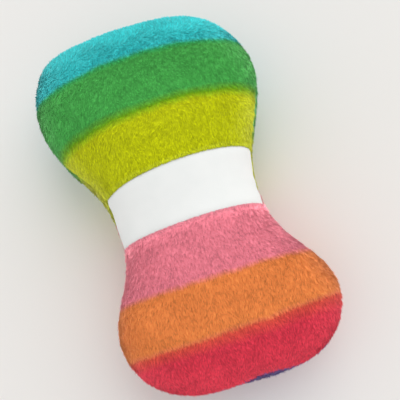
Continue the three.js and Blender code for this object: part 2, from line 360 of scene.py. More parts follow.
@dataclass(frozen=True)
class Finish:
    """A finish that its material is named for.

    Each finish paints its own nodes into the tree of a principled shader.
    """

    name: str
    roughness: float = 0.5
    ior: float = 1.5
    metallic: float = 0.0
    specular: float = 0.5
    sheen: float = 0.0

    def material(self) -> bpy.types.Material:
        """Makes the material, or finds it if it was made before.

        Returns:
            The finish's one material.
        """
        made = bpy.data.materials.get(self.name)
        if made:
            return made
        made = bpy.data.materials.new(self.name)
        made.use_nodes = True
        shader = made.node_tree.nodes["Principled BSDF"]
        shader.inputs["Roughness"].default_value = self.roughness
        shader.inputs["IOR"].default_value = self.ior
        shader.inputs["Metallic"].default_value = self.metallic
        shader.inputs["Specular IOR Level"].default_value = self.specular
        shader.inputs["Sheen Weight"].default_value = self.sheen
        self.paint(made.node_tree, shader)
        return made

    def paint(self, tree: Tree, shader: Node) -> None:
        """Adds the finish's own nodes; each kind of finish has its own."""
        raise NotImplementedError

    def dress(self, piece: Piece) -> None:
        """Gives a piece this finish alone."""
        piece.data.materials.clear()
        piece.data.materials.append(self.material())


@dataclass(frozen=True)
class PrintedPlush(Finish):
    """Short polyester pile, knitted, sheared and printed in stripes.

    The eye gets a matte, velvety face whose strands catch the light at grazing angles, tufts of slightly
    different tone, cloudy brushed patches, and soft, slightly uneven edges between the stripes. Towards the
    side seam, but not at the toy's ends, a painted highlight lightens the colour and a pale painted sheen
    is mixed in.
    """

    roughness: float = 0.95
    specular: float = 0.1
    sheen: float = 0.3
    edges: tuple[Edge, ...] = ()
    twist: "PrintTwist | None" = None
    seam_height: float = 0.0
    stroke_width: float = 0.9 * MM
    stroke_length: float = 2.6 * MM
    patch_size: float = 11 * MM
    bleed: float = 1.3 * MM
    tuft_contrast: float = 0.25
    stroke_contrast: float = 0.2
    patch_contrast: float = 0.06
    stroke_roughness: float = 0.6
    noise_detail: float = 3.0
    noise_span: tuple[float, float] = (0.3, 0.7)
    # Painted rim light: towards the side seam the colour is lightened and a pale painted sheen is mixed in
    painted_sheen_tint: str = "f4f3ef"
    painted_sheen_share: float = 0.07
    painted_rim_gain: float = 0.5
    rim_light_reach: float = 19 * MM
    rim_light_gone_at: float = 100 * MM
    rim_light_full_within: float = 58 * MM

    def paint(self, tree: Tree, shader: Node) -> None:
        """Prints the stripes, varies their tone tuft by tuft and paints light on the rims.

        Args:
            tree: the material's node tree.
            shader: its principled shader.
        """
        place = add_node(tree, "TexCoord").outputs["Object"]
        stroke_scale = (1 / self.stroke_width, 1 / self.stroke_length, 1 / self.stroke_width)
        drawn_out = add_node(tree, "Mapping", {"Scale": stroke_scale}, {"Vector": place}).outputs["Vector"]
        grain = {"Scale": 1.0, "Detail": self.noise_detail, "Roughness": self.stroke_roughness}
        strokes = add_node(tree, "TexNoise", grain, {"Vector": drawn_out}).outputs["Fac"]
        grain = {"Scale": 1 / self.patch_size, "Detail": self.noise_detail}
        patches = add_node(tree, "TexNoise", grain, {"Vector": place}).outputs["Fac"]
        tufts = add_node(tree, "NewGeometry").outputs["Random Per Island"]
        painted_rim_light = self.painted_rim_light(tree, place)
        # Painted highlight: the tone rises towards the side seam
        tone = add_row(tree, "Math", painted_rim_light, ("MULTIPLY", self.painted_rim_gain), ("ADD", 1.0))
        for source, (low, high), contrast in (
            (strokes, self.noise_span, self.stroke_contrast),
            (patches, self.noise_span, self.patch_contrast),
            (tufts, (0.0, 1.0), self.tuft_contrast),
        ):
            spread = {"From Min": low, "From Max": high, "To Min": 1 - contrast, "To Max": 1 + contrast}
            level = add_node(tree, "MapRange", spread, {"Value": source}).outputs["Result"]
            tone = add_row(tree, "Math", tone, ("MULTIPLY", level))
        # Painted sheen: a pale white is mixed into the print towards the side seam
        rim_lit = add_node(
            tree,
            "Mix",
            {"B": linear(self.painted_sheen_tint)},
            {
                "Factor": add_row(tree, "Math", painted_rim_light, ("MULTIPLY", self.painted_sheen_share)),
                "A": self.printed(tree, place, strokes, patches),
            },
            data_type="RGBA",
        )
        dyed = add_node(tree, "HueSaturation", {}, {"Color": rim_lit.outputs["Result"], "Value": tone})
        tree.links.new(dyed.outputs["Color"], shader.inputs["Base Color"])

    def painted_rim_light(self, tree: Tree, place: Socket) -> Socket:
        """Works out how strong the painted rim light is.

        It grows towards the side seam, but not at the toy's ends, where the nap follows the bend.

        Args:
            tree: the material's node tree.
            place: the point.

        Returns:
            A value from 0 on the broad faces to 1 at the side seam.
        """
        split = add_node(tree, "SeparateXYZ", {}, {"Vector": place})
        off_seam = add_row(
            tree, "Math", split.outputs["Z"], ("SUBTRACT", self.seam_height), ("ABSOLUTE", 0.0)
        )
        off_middle = add_row(tree, "Math", split.outputs["Y"], ("ABSOLUTE", 0.0))
        rim_lit = []
        for away, unlit_at, wide in (
            (off_seam, self.rim_light_reach, 0.0),
            (off_middle, self.rim_light_gone_at, self.rim_light_full_within),
        ):
            spread = {"From Min": unlit_at, "From Max": wide}
            rim_lit.append(add_node(tree, "MapRange", spread, {"Value": away}).outputs["Result"])
        return add_row(tree, "Math", rim_lit[0], ("MULTIPLY", rim_lit[1]))

    def printed(self, tree: Tree, place: Socket, *unevenness: Socket) -> Socket:
        """Prints the stripes by the place along the toy, with edges that bleed unevenly.

        Args:
            tree: the material's node tree.
            place: the point.
            unevenness: patterns that move the edges.

        Returns:
            The print's colour.
        """
        along = self.printed_place(tree, place)
        for pattern in unevenness:
            along = add_row(tree, "Math", pattern, ("MULTIPLY", 2 * self.bleed), ("ADD", along))
        reach, middle = self.twist.half_length, self.bleed * len(unevenness)
        span = {"From Min": middle - reach, "From Max": middle + reach}
        share = add_node(tree, "MapRange", span, {"Value": along}).outputs["Result"]
        print_ramp = add_node(tree, "ValToRGB", {}, {"Fac": share})
        self.fill_ramp(print_ramp.color_ramp)
        return print_ramp.outputs["Color"]

    def printed_place(self, tree: Tree, place: Socket) -> Socket:
        """Works out where on the straight print a point of the twisted cover lies.

        Args:
            tree: the material's node tree.
            place: the point.

        Returns:
            The place along the print.
        """
        split = add_node(tree, "SeparateXYZ", {}, {"Vector": place})
        x, y = split.outputs["X"], split.outputs["Y"]
        twist = self.twist
        share = add_row(
            tree,
            "Math",
            y,
            ("MULTIPLY", -twist.lean),
            ("ADD", x),
            ("DIVIDE", twist.bow_width),
            ("POWER", 2.0),
        )
        bend = -twist.bow / twist.half_length
        shift = add_row(
            tree, "Math", y, ("SUBTRACT", twist.bow_centre), ("MULTIPLY", bend), ("MULTIPLY", share)
        )
        for slant in twist.slants:
            slanted = add_row(
                tree,
                "Math",
                y,
                ("SUBTRACT", slant.centre),
                ("DIVIDE", slant.reach),
                ("POWER", 2.0),
                ("MULTIPLY", -1.0),
                ("EXPONENT", 0.0),
                ("MULTIPLY", slant.slope),
                ("MULTIPLY", x),
            )
            shift = add_row(tree, "Math", shift, ("ADD", slanted))
        off_end = add_row(
            tree, "Math", y, ("DIVIDE", twist.half_length), ("POWER", 2.0), ("MULTIPLY", -1.0), ("ADD", 1.0)
        )
        return add_row(tree, "Math", y, ("SUBTRACT", add_row(tree, "Math", shift, ("MULTIPLY", off_end))))

    def fill_ramp(self, ramp: bpy.types.ColorRamp) -> None:
        """Sets the print's colours along the toy.

        Args:
            ramp: the colour ramp that runs from the near end to the far end.
        """
        stops: list[tuple[float, Hue]] = []
        for edge in self.edges:
            stops += [
                (edge.at - edge.near_line, edge.near_dye),
                (edge.at - edge.blur / 2, edge.near_edge),
                (edge.at + edge.blur / 2, edge.far_edge),
                (edge.at + edge.far_line, edge.far_dye),
            ]
        for index, (at, hue) in enumerate(stops):
            share = (at + self.twist.half_length) / (2 * self.twist.half_length)
            if index < 2:
                stop = ramp.elements[index]
                stop.position = share
            else:
                stop = ramp.elements.new(share)
            stop.color = linear(hue.value)


@dataclass(frozen=True)
class TonedFinish(Finish):
    """A finish that goes between two tones and is raised a little, each by a pattern."""

    tint: str = "ffffff"
    shade: str = "ffffff"
    bump: float = 0.0
    relief: float = 0.0

    def pattern(self, tree: Tree, place: Socket) -> tuple[Socket, Socket]:
        """Adds the finish's own pattern; each kind of finish has its own."""
        raise NotImplementedError

    def paint(self, tree: Tree, shader: Node) -> None:
        """Colours and raises the surface by the finish's pattern.

        Args:
            tree: the material's node tree.
            shader: its principled shader.
        """
        level, height = self.pattern(tree, add_node(tree, "TexCoord").outputs["Object"])
        tones = {"A": linear(self.shade), "B": linear(self.tint)}
        tone = add_node(tree, "Mix", tones, {"Factor": level}, data_type="RGBA")
        raised = add_node(tree, "Bump", {"Strength": self.bump, "Distance": self.relief}, {"Height": height})
        tree.links.new(tone.outputs["Result"], shader.inputs["Base Color"])
        tree.links.new(raised.outputs["Normal"], shader.inputs["Normal"])


@dataclass(frozen=True)
class BareKnit(TonedFinish):
    """Warp-knitted polyester with no pile, bleached white.

    The eye gets an even, bright, matte white whose knit is too fine to show at this distance, so a soft
    unevenness at a few millimetres stands for it, with the loops as a faint bump.
    """

    name: str = "bare_white_knit"
    roughness: float = 0.9
    specular: float = 0.25
    sheen: float = 0.15
    tint: str = "f1f2f0"
    shade: str = "e6e9e7"
    bump: float = 0.25
    relief: float = 0.1 * MM
    loop_spacing: float = 0.8 * MM
    loop_unevenness: float = 0.35
    cloud_size: float = 14 * MM

    def pattern(self, tree: Tree, place: Socket) -> tuple[Socket, Socket]:
        """Varies the white in clouds and raises the knit's loops.

        Args:
            tree: the material's node tree.
            place: the point.

        Returns:
            The level between the tones and the relief's height.
        """
        clouds = add_node(tree, "TexNoise", {"Scale": 1 / self.cloud_size, "Detail": 2.0}, {"Vector": place})
        knit = {"Scale": 1 / self.loop_spacing, "Randomness": self.loop_unevenness}
        loops = add_node(tree, "TexVoronoi", knit, {"Vector": place})
        return clouds.outputs["Fac"], loops.outputs["Distance"]


@dataclass(frozen=True)
class SpunThread(TonedFinish):
    """Three-ply spun polyester sewing thread.

    The eye gets a slightly shiny cord with slanting plies and a little fuzz.
    """

    name: str = "spun_polyester_thread"
    roughness: float = 0.7
    sheen: float = 0.2
    tint: str = "eceae5"
    # Painted shade: the darker tone that the grooves between the plies take
    shade: str = "cfccc5"
    bump: float = 0.5
    relief: float = 0.06 * MM
    ply_pitch: float = 0.5 * MM
    ply_unevenness: float = 1.5

    def pattern(self, tree: Tree, place: Socket) -> tuple[Socket, Socket]:
        """Draws the plies as a slanting wave, with painted shade darkening the grooves between them.

        Args:
            tree: the material's node tree.
            place: the point.

        Returns:
            The level between the tones and the relief's height.
        """
        wave = {"Scale": 1 / self.ply_pitch, "Distortion": self.ply_unevenness}
        plies = add_node(tree, "TexWave", wave, {"Vector": place}, bands_direction="DIAGONAL").outputs["Fac"]
        return plies, plies


@dataclass(frozen=True)
class HollowFibre(TonedFinish):
    """Siliconised hollow-fibre polyester, blown in as loose tufts.

    The eye gets a soft white wad with crossing strands, and painted shade makes it slightly grey between the
    strands and in its hollows.
    """

    name: str = "hollow_fibre_wadding"
    roughness: float = 0.95
    sheen: float = 0.4
    tint: str = "f3f3f1"
    # Painted shade: the grey that the wad takes between its strands and in its hollows
    shade: str = "d9dad8"
    bump: float = 0.6
    relief: float = 0.4 * MM
    strand_width: float = 0.5 * MM
    strand_length: float = 9 * MM
    strand_turns: tuple[tuple[float, float, float], ...] = ((0.3, 0.2, 0.6), (0.3, 0.2, -0.9))
    wad_size: float = 7 * MM
    painted_shade_level: float = 0.15
    full_level: float = 0.4

    def pattern(self, tree: Tree, place: Socket) -> tuple[Socket, Socket]:
        """Crosses two sets of strands over cloudy wads.

        Args:
            tree: the material's node tree.
            place: the point.

        Returns:
            The level between the tones and the relief's height.
        """
        scale = (1 / self.strand_width, 1 / self.strand_length, 1 / self.strand_width)
        strands = []
        for turn in self.strand_turns:
            turned = add_node(tree, "Mapping", {"Rotation": turn, "Scale": scale}, {"Vector": place})
            turned = turned.outputs["Vector"]
            noise = add_node(tree, "TexNoise", {"Scale": 1.0, "Detail": 2.0}, {"Vector": turned})
            strands.append(noise.outputs["Fac"])
        crossed = add_row(tree, "Math", strands[0], ("MAXIMUM", strands[1]))
        wads = add_node(tree, "TexNoise", {"Scale": 1 / self.wad_size, "Detail": 3.0}, {"Vector": place})
        level = add_row(tree, "Math", crossed, ("MULTIPLY", wads.outputs["Fac"]))
        # Painted shade: where strands and wads are thin the colour turns to the grey
        span = {"From Min": self.painted_shade_level, "From Max": self.full_level}
        return add_node(tree, "MapRange", span, {"Value": level}).outputs["Result"], crossed


@dataclass(frozen=True)
class BlownPolyethylene(TonedFinish):
    """Low-density polyethylene, blow-moulded thin.

    The eye gets a milky, faintly see-through skin with a waxy gloss and uneven wall.
    """

    name: str = "blow_moulded_polyethylene"
    roughness: float = 0.35
    ior: float = 1.51
    tint: str = "dfe6e8"
    shade: str = "cfd9dc"
    bump: float = 0.15
    relief: float = 0.3 * MM
    ripple: float = 6 * MM
    milkiness: float = 0.25
    light_reach: float = 2 * MM

    def pattern(self, tree: Tree, place: Socket) -> tuple[Socket, Socket]:
        """Ripples the wall.

        Args:
            tree: the material's node tree.
            place: the point.

        Returns:
            The level between the tones and the relief's height.
        """
        wall = add_node(tree, "TexNoise", {"Scale": 1 / self.ripple, "Detail": 2.0}, {"Vector": place})
        return wall.outputs["Fac"], wall.outputs["Fac"]

    def paint(self, tree: Tree, shader: Node) -> None:
        """Colours and raises the wall and lets light through it.

        Args:
            tree: the material's node tree.
            shader: its principled shader.
        """
        super().paint(tree, shader)
        shader.inputs["Subsurface Weight"].default_value = self.milkiness
        shader.inputs["Subsurface Radius"].default_value = (1.0, 1.0, 1.0)
        shader.inputs["Subsurface Scale"].default_value = self.light_reach


@dataclass(frozen=True)
class MouldedPolystyrene(TonedFinish):
    """Polystyrene, injection-moulded.

    The eye gets a hard, glossy off-white with faint flow lines.
    """

    name: str = "moulded_polystyrene"
    roughness: float = 0.3
    ior: float = 1.59
    tint: str = "efeee9"
    shade: str = "e4e2db"
    bump: float = 0.1
    relief: float = 0.05 * MM
    flow_size: float = 1.6 * MM
    flow_swirl: float = 1.2

    def pattern(self, tree: Tree, place: Socket) -> tuple[Socket, Socket]:
        """Streaks the plastic along its flow.

        Args:
            tree: the material's node tree.
            place: the point.

        Returns:
            The level between the tones and the relief's height.
        """
        streaks = {"Scale": 1 / self.flow_size, "Detail": 2.0, "Distortion": self.flow_swirl}
        flow = add_node(tree, "TexNoise", streaks, {"Vector": place}).outputs["Fac"]
        return flow, flow


@dataclass(frozen=True)
class RolledBrass(TonedFinish):
    """Spring brass, cold-rolled thin.

    The eye gets a warm metal with fine rolling lines along the tongue.
    """

    name: str = "rolled_spring_brass"
    roughness: float = 0.28
    metallic: float = 1.0
    tint: str = "d9b765"
    shade: str = "b48f45"
    bump: float = 0.2
    relief: float = 0.02 * MM
    line_spacing: float = 0.12 * MM
    line_length: float = 4 * MM

    def pattern(self, tree: Tree, place: Socket) -> tuple[Socket, Socket]:
        """Draws the rolling lines upwards along the tongue.

        Args:
            tree: the material's node tree.
            place: the point.

        Returns:
            The level between the tones and the relief's height.
        """
        scale = (1 / self.line_spacing, 1 / self.line_spacing, 1 / self.line_length)
        drawn = add_node(tree, "Mapping", {"Scale": scale}, {"Vector": place}).outputs["Vector"]
        lines = add_node(tree, "TexNoise", {"Scale": 1.0, "Detail": 2.0}, {"Vector": drawn}).outputs["Fac"]
        return lines, lines


@dataclass(frozen=True)
class MattePaint(Finish):
    """Emulsion paint, rolled on.

    The eye gets an even, dull, pale ground.
    """

    name: str = "matte_painted_floor"
    roughness: float = 0.95
    specular: float = 0.1
    colour: str = "e9e7e4"

    def paint(self, tree: Tree, shader: Node) -> None:
        """Gives the paint its one colour."""
        shader.inputs["Base Color"].default_value = linear(self.colour)


# The toy's form


@dataclass(frozen=True)
class Slant:
    """A place along the toy where the cover's cut and print slant across it."""

    slope: float
    centre: float
    reach: float


@dataclass(frozen=True)
class PrintTwist:
    """How the cover's cut and print slant across the toy and bow away from its waist.

    The stuffing swells the middle of the cover, so that straight stripes bend towards the toy's ends there.
    """

    half_length: float
    lean: float
    slants: tuple[Slant, ...] = (Slant(0.074, 13 * MM, 44 * MM), Slant(0.1, -76 * MM, 20 * MM))
    bow: float = 5.5 * MM
    bow_centre: float = -10 * MM
    bow_width: float = 50 * MM

    def shift(self, place: np.ndarray, x: np.ndarray, off_middle: np.ndarray) -> np.ndarray:
        """How far a point of the cover lies further along the toy than its place on the print.

        Args:
            place: places on the print.
            x: the points' places across the toy.
            off_middle: their distances from the toy's own middle line.

        Returns:
            The shift of each point.
        """
        bow = self.bow * (place - self.bow_centre) / self.half_length
        shift = -bow * (off_middle / self.bow_width) ** 2
        for slant in self.slants:
            shift = shift + slant.slope * np.exp(-(((place - slant.centre) / slant.reach) ** 2)) * x
        return shift * (1 - (place / self.half_length) ** 2)


@dataclass(frozen=True)
class SeamRoll:
    """A place where the side seam rolls towards the front, so that the back panel shows from above.

    The stand says how far the back's pile stands out past the seam there, from 0 to 1.
    """

    x: float
    y: float
    rise: float
    reach: float
    height: float = 7 * MM
    stand: float = 0.0


class Side(Enum):
    """Which half of the toy a panel covers, as the angle its section starts from."""

    FRONT = 0.0
    BACK = math.pi


@dataclass(frozen=True)
class ToyForm:
    """The stuffed form over its pile: two lobes and a waist, as formulas in the toy's own frame.

    Places run along Y. Angles run round the section from +X over the front. An inset draws the form in.
    """

    half_length: float
    seam_height: float
    middle_x: float
    top_lobe_width: float = 65 * MM
    bottom_lobe_width: float = 64.2 * MM
    lobe_sway: float = 2.4 * MM
    waist_width: float = 37.9 * MM
    waist_place: float = -15.8 * MM
    waist_reach_top_left: float = 46.7 * MM
    waist_reach_top_right: float = 54 * MM
    waist_reach_bottom: float = 38 * MM
    top_lobe_height: float = 31.5 * MM
    bottom_lobe_height: float = 36 * MM
    waist_height: float = 27 * MM
    waist_height_reach: float = 33 * MM
    lobe_blend: float = 30 * MM
    top_powers: tuple[float, float] = (4.6, 3.2)
    bottom_powers: tuple[float, float] = (3.85, 2.95)
    end_height_power: float = 3.0
    waist_power: float = 2.5
    section_power: float = 2.1
    lean: float = -0.089
    band_top: float = 8.3 * MM
    band_bottom: float = -21.6 * MM
    seam_gap: float = 0.06 * MM
    floor_gap: float = 0.1 * MM
    steepest: float = 0.95
    probe: float = 0.2 * MM
    probe_turn: float = 0.01
    probe_margin: float = 0.02 * MM
    fine_rows: int = 6001
    rolls: tuple[SeamRoll, ...] = (
        SeamRoll(17 * MM, -98 * MM, 9 * MM, 15 * MM, height=12 * MM, stand=0.3),
        SeamRoll(-46 * MM, 11 * MM, 12 * MM, 22 * MM, height=17 * MM),
        SeamRoll(50 * MM, 30 * MM, 3 * MM, 20 * MM),
    )

    @classmethod
    def in_frame(cls) -> "ToyForm":
        """Sets the form into the shared frame by the nodes that it goes round.

        Returns:
            The form with its seam plane on the back panel's rim and its waist round the squeaker.
        """
        low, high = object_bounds()
        seat_low, seat_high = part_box("bellows_base")
        form = cls((high.y - low.y) / 2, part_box("back_panel")[1].z, 0.0)
        squeaker_x, squeaker_y = (seat_low.x + seat_high.x) / 2, (seat_low.y + seat_high.y) / 2
        return replace(form, middle_x=squeaker_x - float(form.middle_line(np.array(squeaker_y))))

    @property
    def twist(self) -> PrintTwist:
        """The slant and bow of the cut and the print."""
        return PrintTwist(self.half_length, self.lean)

    def lobe(self, bottom: float, top: float, y: np.ndarray) -> np.ndarray:
        """Blends a size of the bottom lobe into that of the top lobe."""
        return bottom + (top - bottom) * (1 + np.tanh(y / self.lobe_blend)) / 2

    def waist_dip(self, y: np.ndarray) -> np.ndarray:
        """How much of the waist's sinking is left at places along the toy."""
        return np.exp(-(((y - self.waist_place) / self.waist_height_reach) ** 2))

    def middle_line(self, y: np.ndarray) -> np.ndarray:
        """The line between the two sides, which leans and sways to the right at both lobes."""
        return self.lean * y + self.lobe_sway * (1 - self.waist_dip(y))

    def half_width(
        self, y: np.ndarray, inset: np.ndarray | float, on_right: np.ndarray | bool
    ) -> np.ndarray:
        """How far one side stands off the middle line. The left is fuller at the ends than the right.

        Args:
            y: places along the toy.
            inset: how far the form is drawn in.
            on_right: whether the right side is meant.

        Returns:
            The distance at each place.
        """
        lobe = self.lobe(self.bottom_lobe_width, self.top_lobe_width, y)
        reach_top = np.where(on_right, self.waist_reach_top_right, self.waist_reach_top_left)
        reach = np.where(y > self.waist_place, reach_top, self.waist_reach_bottom)
        dip = np.exp(-(np.abs((y - self.waist_place) / reach) ** self.waist_power))
        along = np.minimum(1, np.abs(y) / (self.half_length - inset))
        side = lobe - (lobe - self.waist_width) * dip - inset
        at_top = np.asarray(y) > 0
        left, right = (np.where(at_top, *pair) for pair in zip(self.top_powers, self.bottom_powers))
        power = np.where(on_right, right, left)
        return side * (1 - along**power) ** (1 / power)

    def half_height(self, y: np.ndarray, inset: np.ndarray | float) -> np.ndarray:
        """Half the form's height at places along it.

        Args:
            y: places along the toy.
            inset: how far the form is drawn in.

        Returns:
            Half the height there.
        """
        lobe = self.lobe(self.bottom_lobe_height, self.top_lobe_height, y)
        along = np.minimum(1, np.abs(y) / (self.half_length - inset))
        face = lobe - (lobe - self.waist_height) * self.waist_dip(y) - inset
        return face * np.sqrt(1 - along**self.end_height_power)

    def point(self, place: np.ndarray, angle: np.ndarray, inset: np.ndarray | float) -> np.ndarray:
        """Points of the form's surface, in rows that follow the slant of the cut and the print.

        Args:
            place: places along the toy, on the print.
            angle: angles round the section.
            inset: how far the form is drawn in.

        Returns:
            The points, one row each, with the seam plane at height zero.
        """
        side = np.cos(angle)
        across = np.sign(side) * np.abs(side) ** (2 / self.section_power)
        off_middle = self.half_width(place, inset, side > 0) * across
        y = place + self.twist.shift(place, self.middle_line(place) + off_middle, off_middle)
        x = self.middle_line(y) + self.half_width(y, inset, side > 0) * across
        return np.stack([x, y, self.half_height(y, inset) * np.sin(angle)], axis=-1)

    def placed(self, points: np.ndarray) -> np.ndarray:
        """Rolls the side seam and moves points from the form's own frame onto the floor.

        Args:
            points: points with the seam plane at height zero.

        Returns:
            The points in the shared frame, with none under the floor.
        """
        moved = points + np.array([self.middle_x, 0.0, self.seam_height])
        lift = np.zeros(points.shape[:-1])
        for roll in self.rolls:
            near_seam = np.exp(-((points[..., 2] / roll.height) ** 2))
            lift = lift + roll.rise * near_seam * self.near(roll, points)
        sideways, endways = self.slide(points, lift)
        moved[..., 0] += sideways
        moved[..., 1] += endways
        moved[..., 2] = np.maximum(moved[..., 2] + lift, self.floor_gap)
        return moved

    def near(self, roll: SeamRoll, points: np.ndarray) -> np.ndarray:
        """How much of a roll reaches points, from 0 to 1."""
        away = (points[..., 0] - roll.x) ** 2 + (points[..., 1] - roll.y) ** 2
        return np.exp(-away / roll.reach**2)

    def slide(self, points: np.ndarray, lift: np.ndarray) -> tuple[np.ndarray, np.ndarray]:
        """How far lifted points move in, so that they stay on the form's curves.

        Args:
            points: points with the seam plane at height zero.
            lift: how far each is lifted.

        Returns:
            The moves along X and along Y.
        """
        y = points[..., 1]
        moves = []
        for out, high, power in (
            (points[..., 0] - self.middle_line(y), self.half_height(y, 0.0), self.section_power),
            (y, self.lobe(self.bottom_lobe_height, self.top_lobe_height, y), self.end_height_power),
        ):
            high = np.maximum(high, self.waist_height)
            before = np.minimum(np.abs(points[..., 2]) / high, self.steepest)
            after = np.minimum(np.abs(points[..., 2] + lift) / high, self.steepest)
            moves.append(out * (((1 - after**2) / (1 - before**2)) ** (1 / power) - 1))
        return moves[0], moves[1]

    def normal(self, place: np.ndarray, angle: np.ndarray, inset: float) -> np.ndarray:
        """Outward directions of the surface.

        Args:
            place: places along the toy.
            angle: angles round the section.
            inset: how far the form is drawn in.

        Returns:
            One unit vector for each point.
        """
        limit = self.half_length - inset - self.probe_margin
        ahead = np.clip(place + self.probe, -limit, limit)
        behind = np.clip(place - self.probe, -limit, limit)
        along = self.point(ahead, angle, inset) - self.point(behind, angle, inset)
        onward, back = angle + self.probe_turn, angle - self.probe_turn
        round_it = self.point(place, onward, inset) - self.point(place, back, inset)
        return unit(np.cross(along, round_it))

    def rows(self, start: float, end: float, step: float) -> np.ndarray:
        """Places at even steps over the surface, so that they lie close together at the rounded ends.

        Args:
            start: the first place.
            end: the last place.
            step: the distance between rows.

        Returns:
            The places in rising order.
        """
        fine = self.half_length * np.sin(np.linspace(-math.pi / 2, math.pi / 2, self.fine_rows))
        fine = np.concatenate([[start], fine[(fine > start) & (fine < end)], [end]])
        wide, high = np.diff(self.half_width(fine, 0, True)), np.diff(self.half_height(fine, 0))
        travel = np.concatenate([[0], np.cumsum(np.sqrt(np.diff(fine) ** 2 + (wide**2 + high**2) / 2))])
        count = math.ceil(travel[-1] / step) + 1
        return np.interp(np.linspace(0, travel[-1], count), travel, fine)


@dataclass(frozen=True)
class SoftWaves:
    """A smooth uneven field over space: a sum of plane waves, in directions that the seed picks."""

    size: float
    seed: int
    count: int = 9
    spread: tuple[float, float] = (0.8, 1.6)
    peak: float = 4.2

    def at(self, points: np.ndarray) -> np.ndarray:
        """Reads the field.

        Args:
            points: where it is read.

        Returns:
            A value from about -1 to 1 for each point.
        """
        draw = np.random.default_rng(self.seed)
        total = np.zeros(points.shape[:-1])
        for _ in range(self.count):
            heading = unit(draw.normal(size=3))
            wave = FULL_TURN / (self.size * draw.uniform(*self.spread))
            total += np.sin(points @ heading * wave + draw.uniform(0, FULL_TURN))
        return total / self.peak


@dataclass(frozen=True)
class Cover:
    """How the sewn cover departs from the form: drawn in at its seams and lumpy from the stuffing."""

    form: ToyForm
    side_seam_depth: float = 1.4 * MM
    side_seam_reach: float = 1.4 * MM
    band_seam_depth: float = 0.6 * MM
    band_seam_reach: float = 1.8 * MM
    lump_height: float = 0.45 * MM
    lumps: SoftWaves = SoftWaves(34 * MM, seed=11)
    pucker_height: float = 0.35 * MM
    pucker_spacing: float = 9 * MM
    pucker_reach: float = 8 * MM
    pucker_drift: float = 3.0
    pucker_drifts: SoftWaves = SoftWaves(30 * MM, seed=5)

    def sink(self, place: np.ndarray, points: np.ndarray, front: bool) -> np.ndarray:
        """How far the cover lies under the form.

        Args:
            place: places along the toy.
            points: the form's points there.
            front: whether the band's seams cross this side.

        Returns:
            The depth at each point.
        """
        off_seam = np.abs(points[..., 2])
        depth = self.side_seam_depth * np.exp(-((off_seam / self.side_seam_reach) ** 2))
        drift = self.pucker_drifts.at(points) * self.pucker_drift
        pucker = np.sin(points[..., 1] * FULL_TURN / self.pucker_spacing + drift)
        depth = depth + self.pucker_height * (1 + pucker) / 2 * np.exp(-off_seam / self.pucker_reach)
        if front:
            for seam in (self.form.band_top, self.form.band_bottom):
                near = np.exp(-(((place - seam) / self.band_seam_reach) ** 2))
                depth = depth + self.band_seam_depth * near
        return depth + self.lump_height * self.lumps.at(points)

    def surface(
        self, place: np.ndarray, angle: np.ndarray, inset: float, front: bool
    ) -> tuple[np.ndarray, np.ndarray]:
        """The cover's own surface at an inset.

        Args:
            place: places along the toy.
            angle: angles round the section.
            inset: how far under the pile's tips it lies.
            front: whether the band's seams cross this side.

        Returns:
            Points and outward directions.
        """
        points = self.form.point(place, angle, inset)
        outward = self.form.normal(place, angle, inset)
        return points - outward * self.sink(place, points, front)[..., None], outward


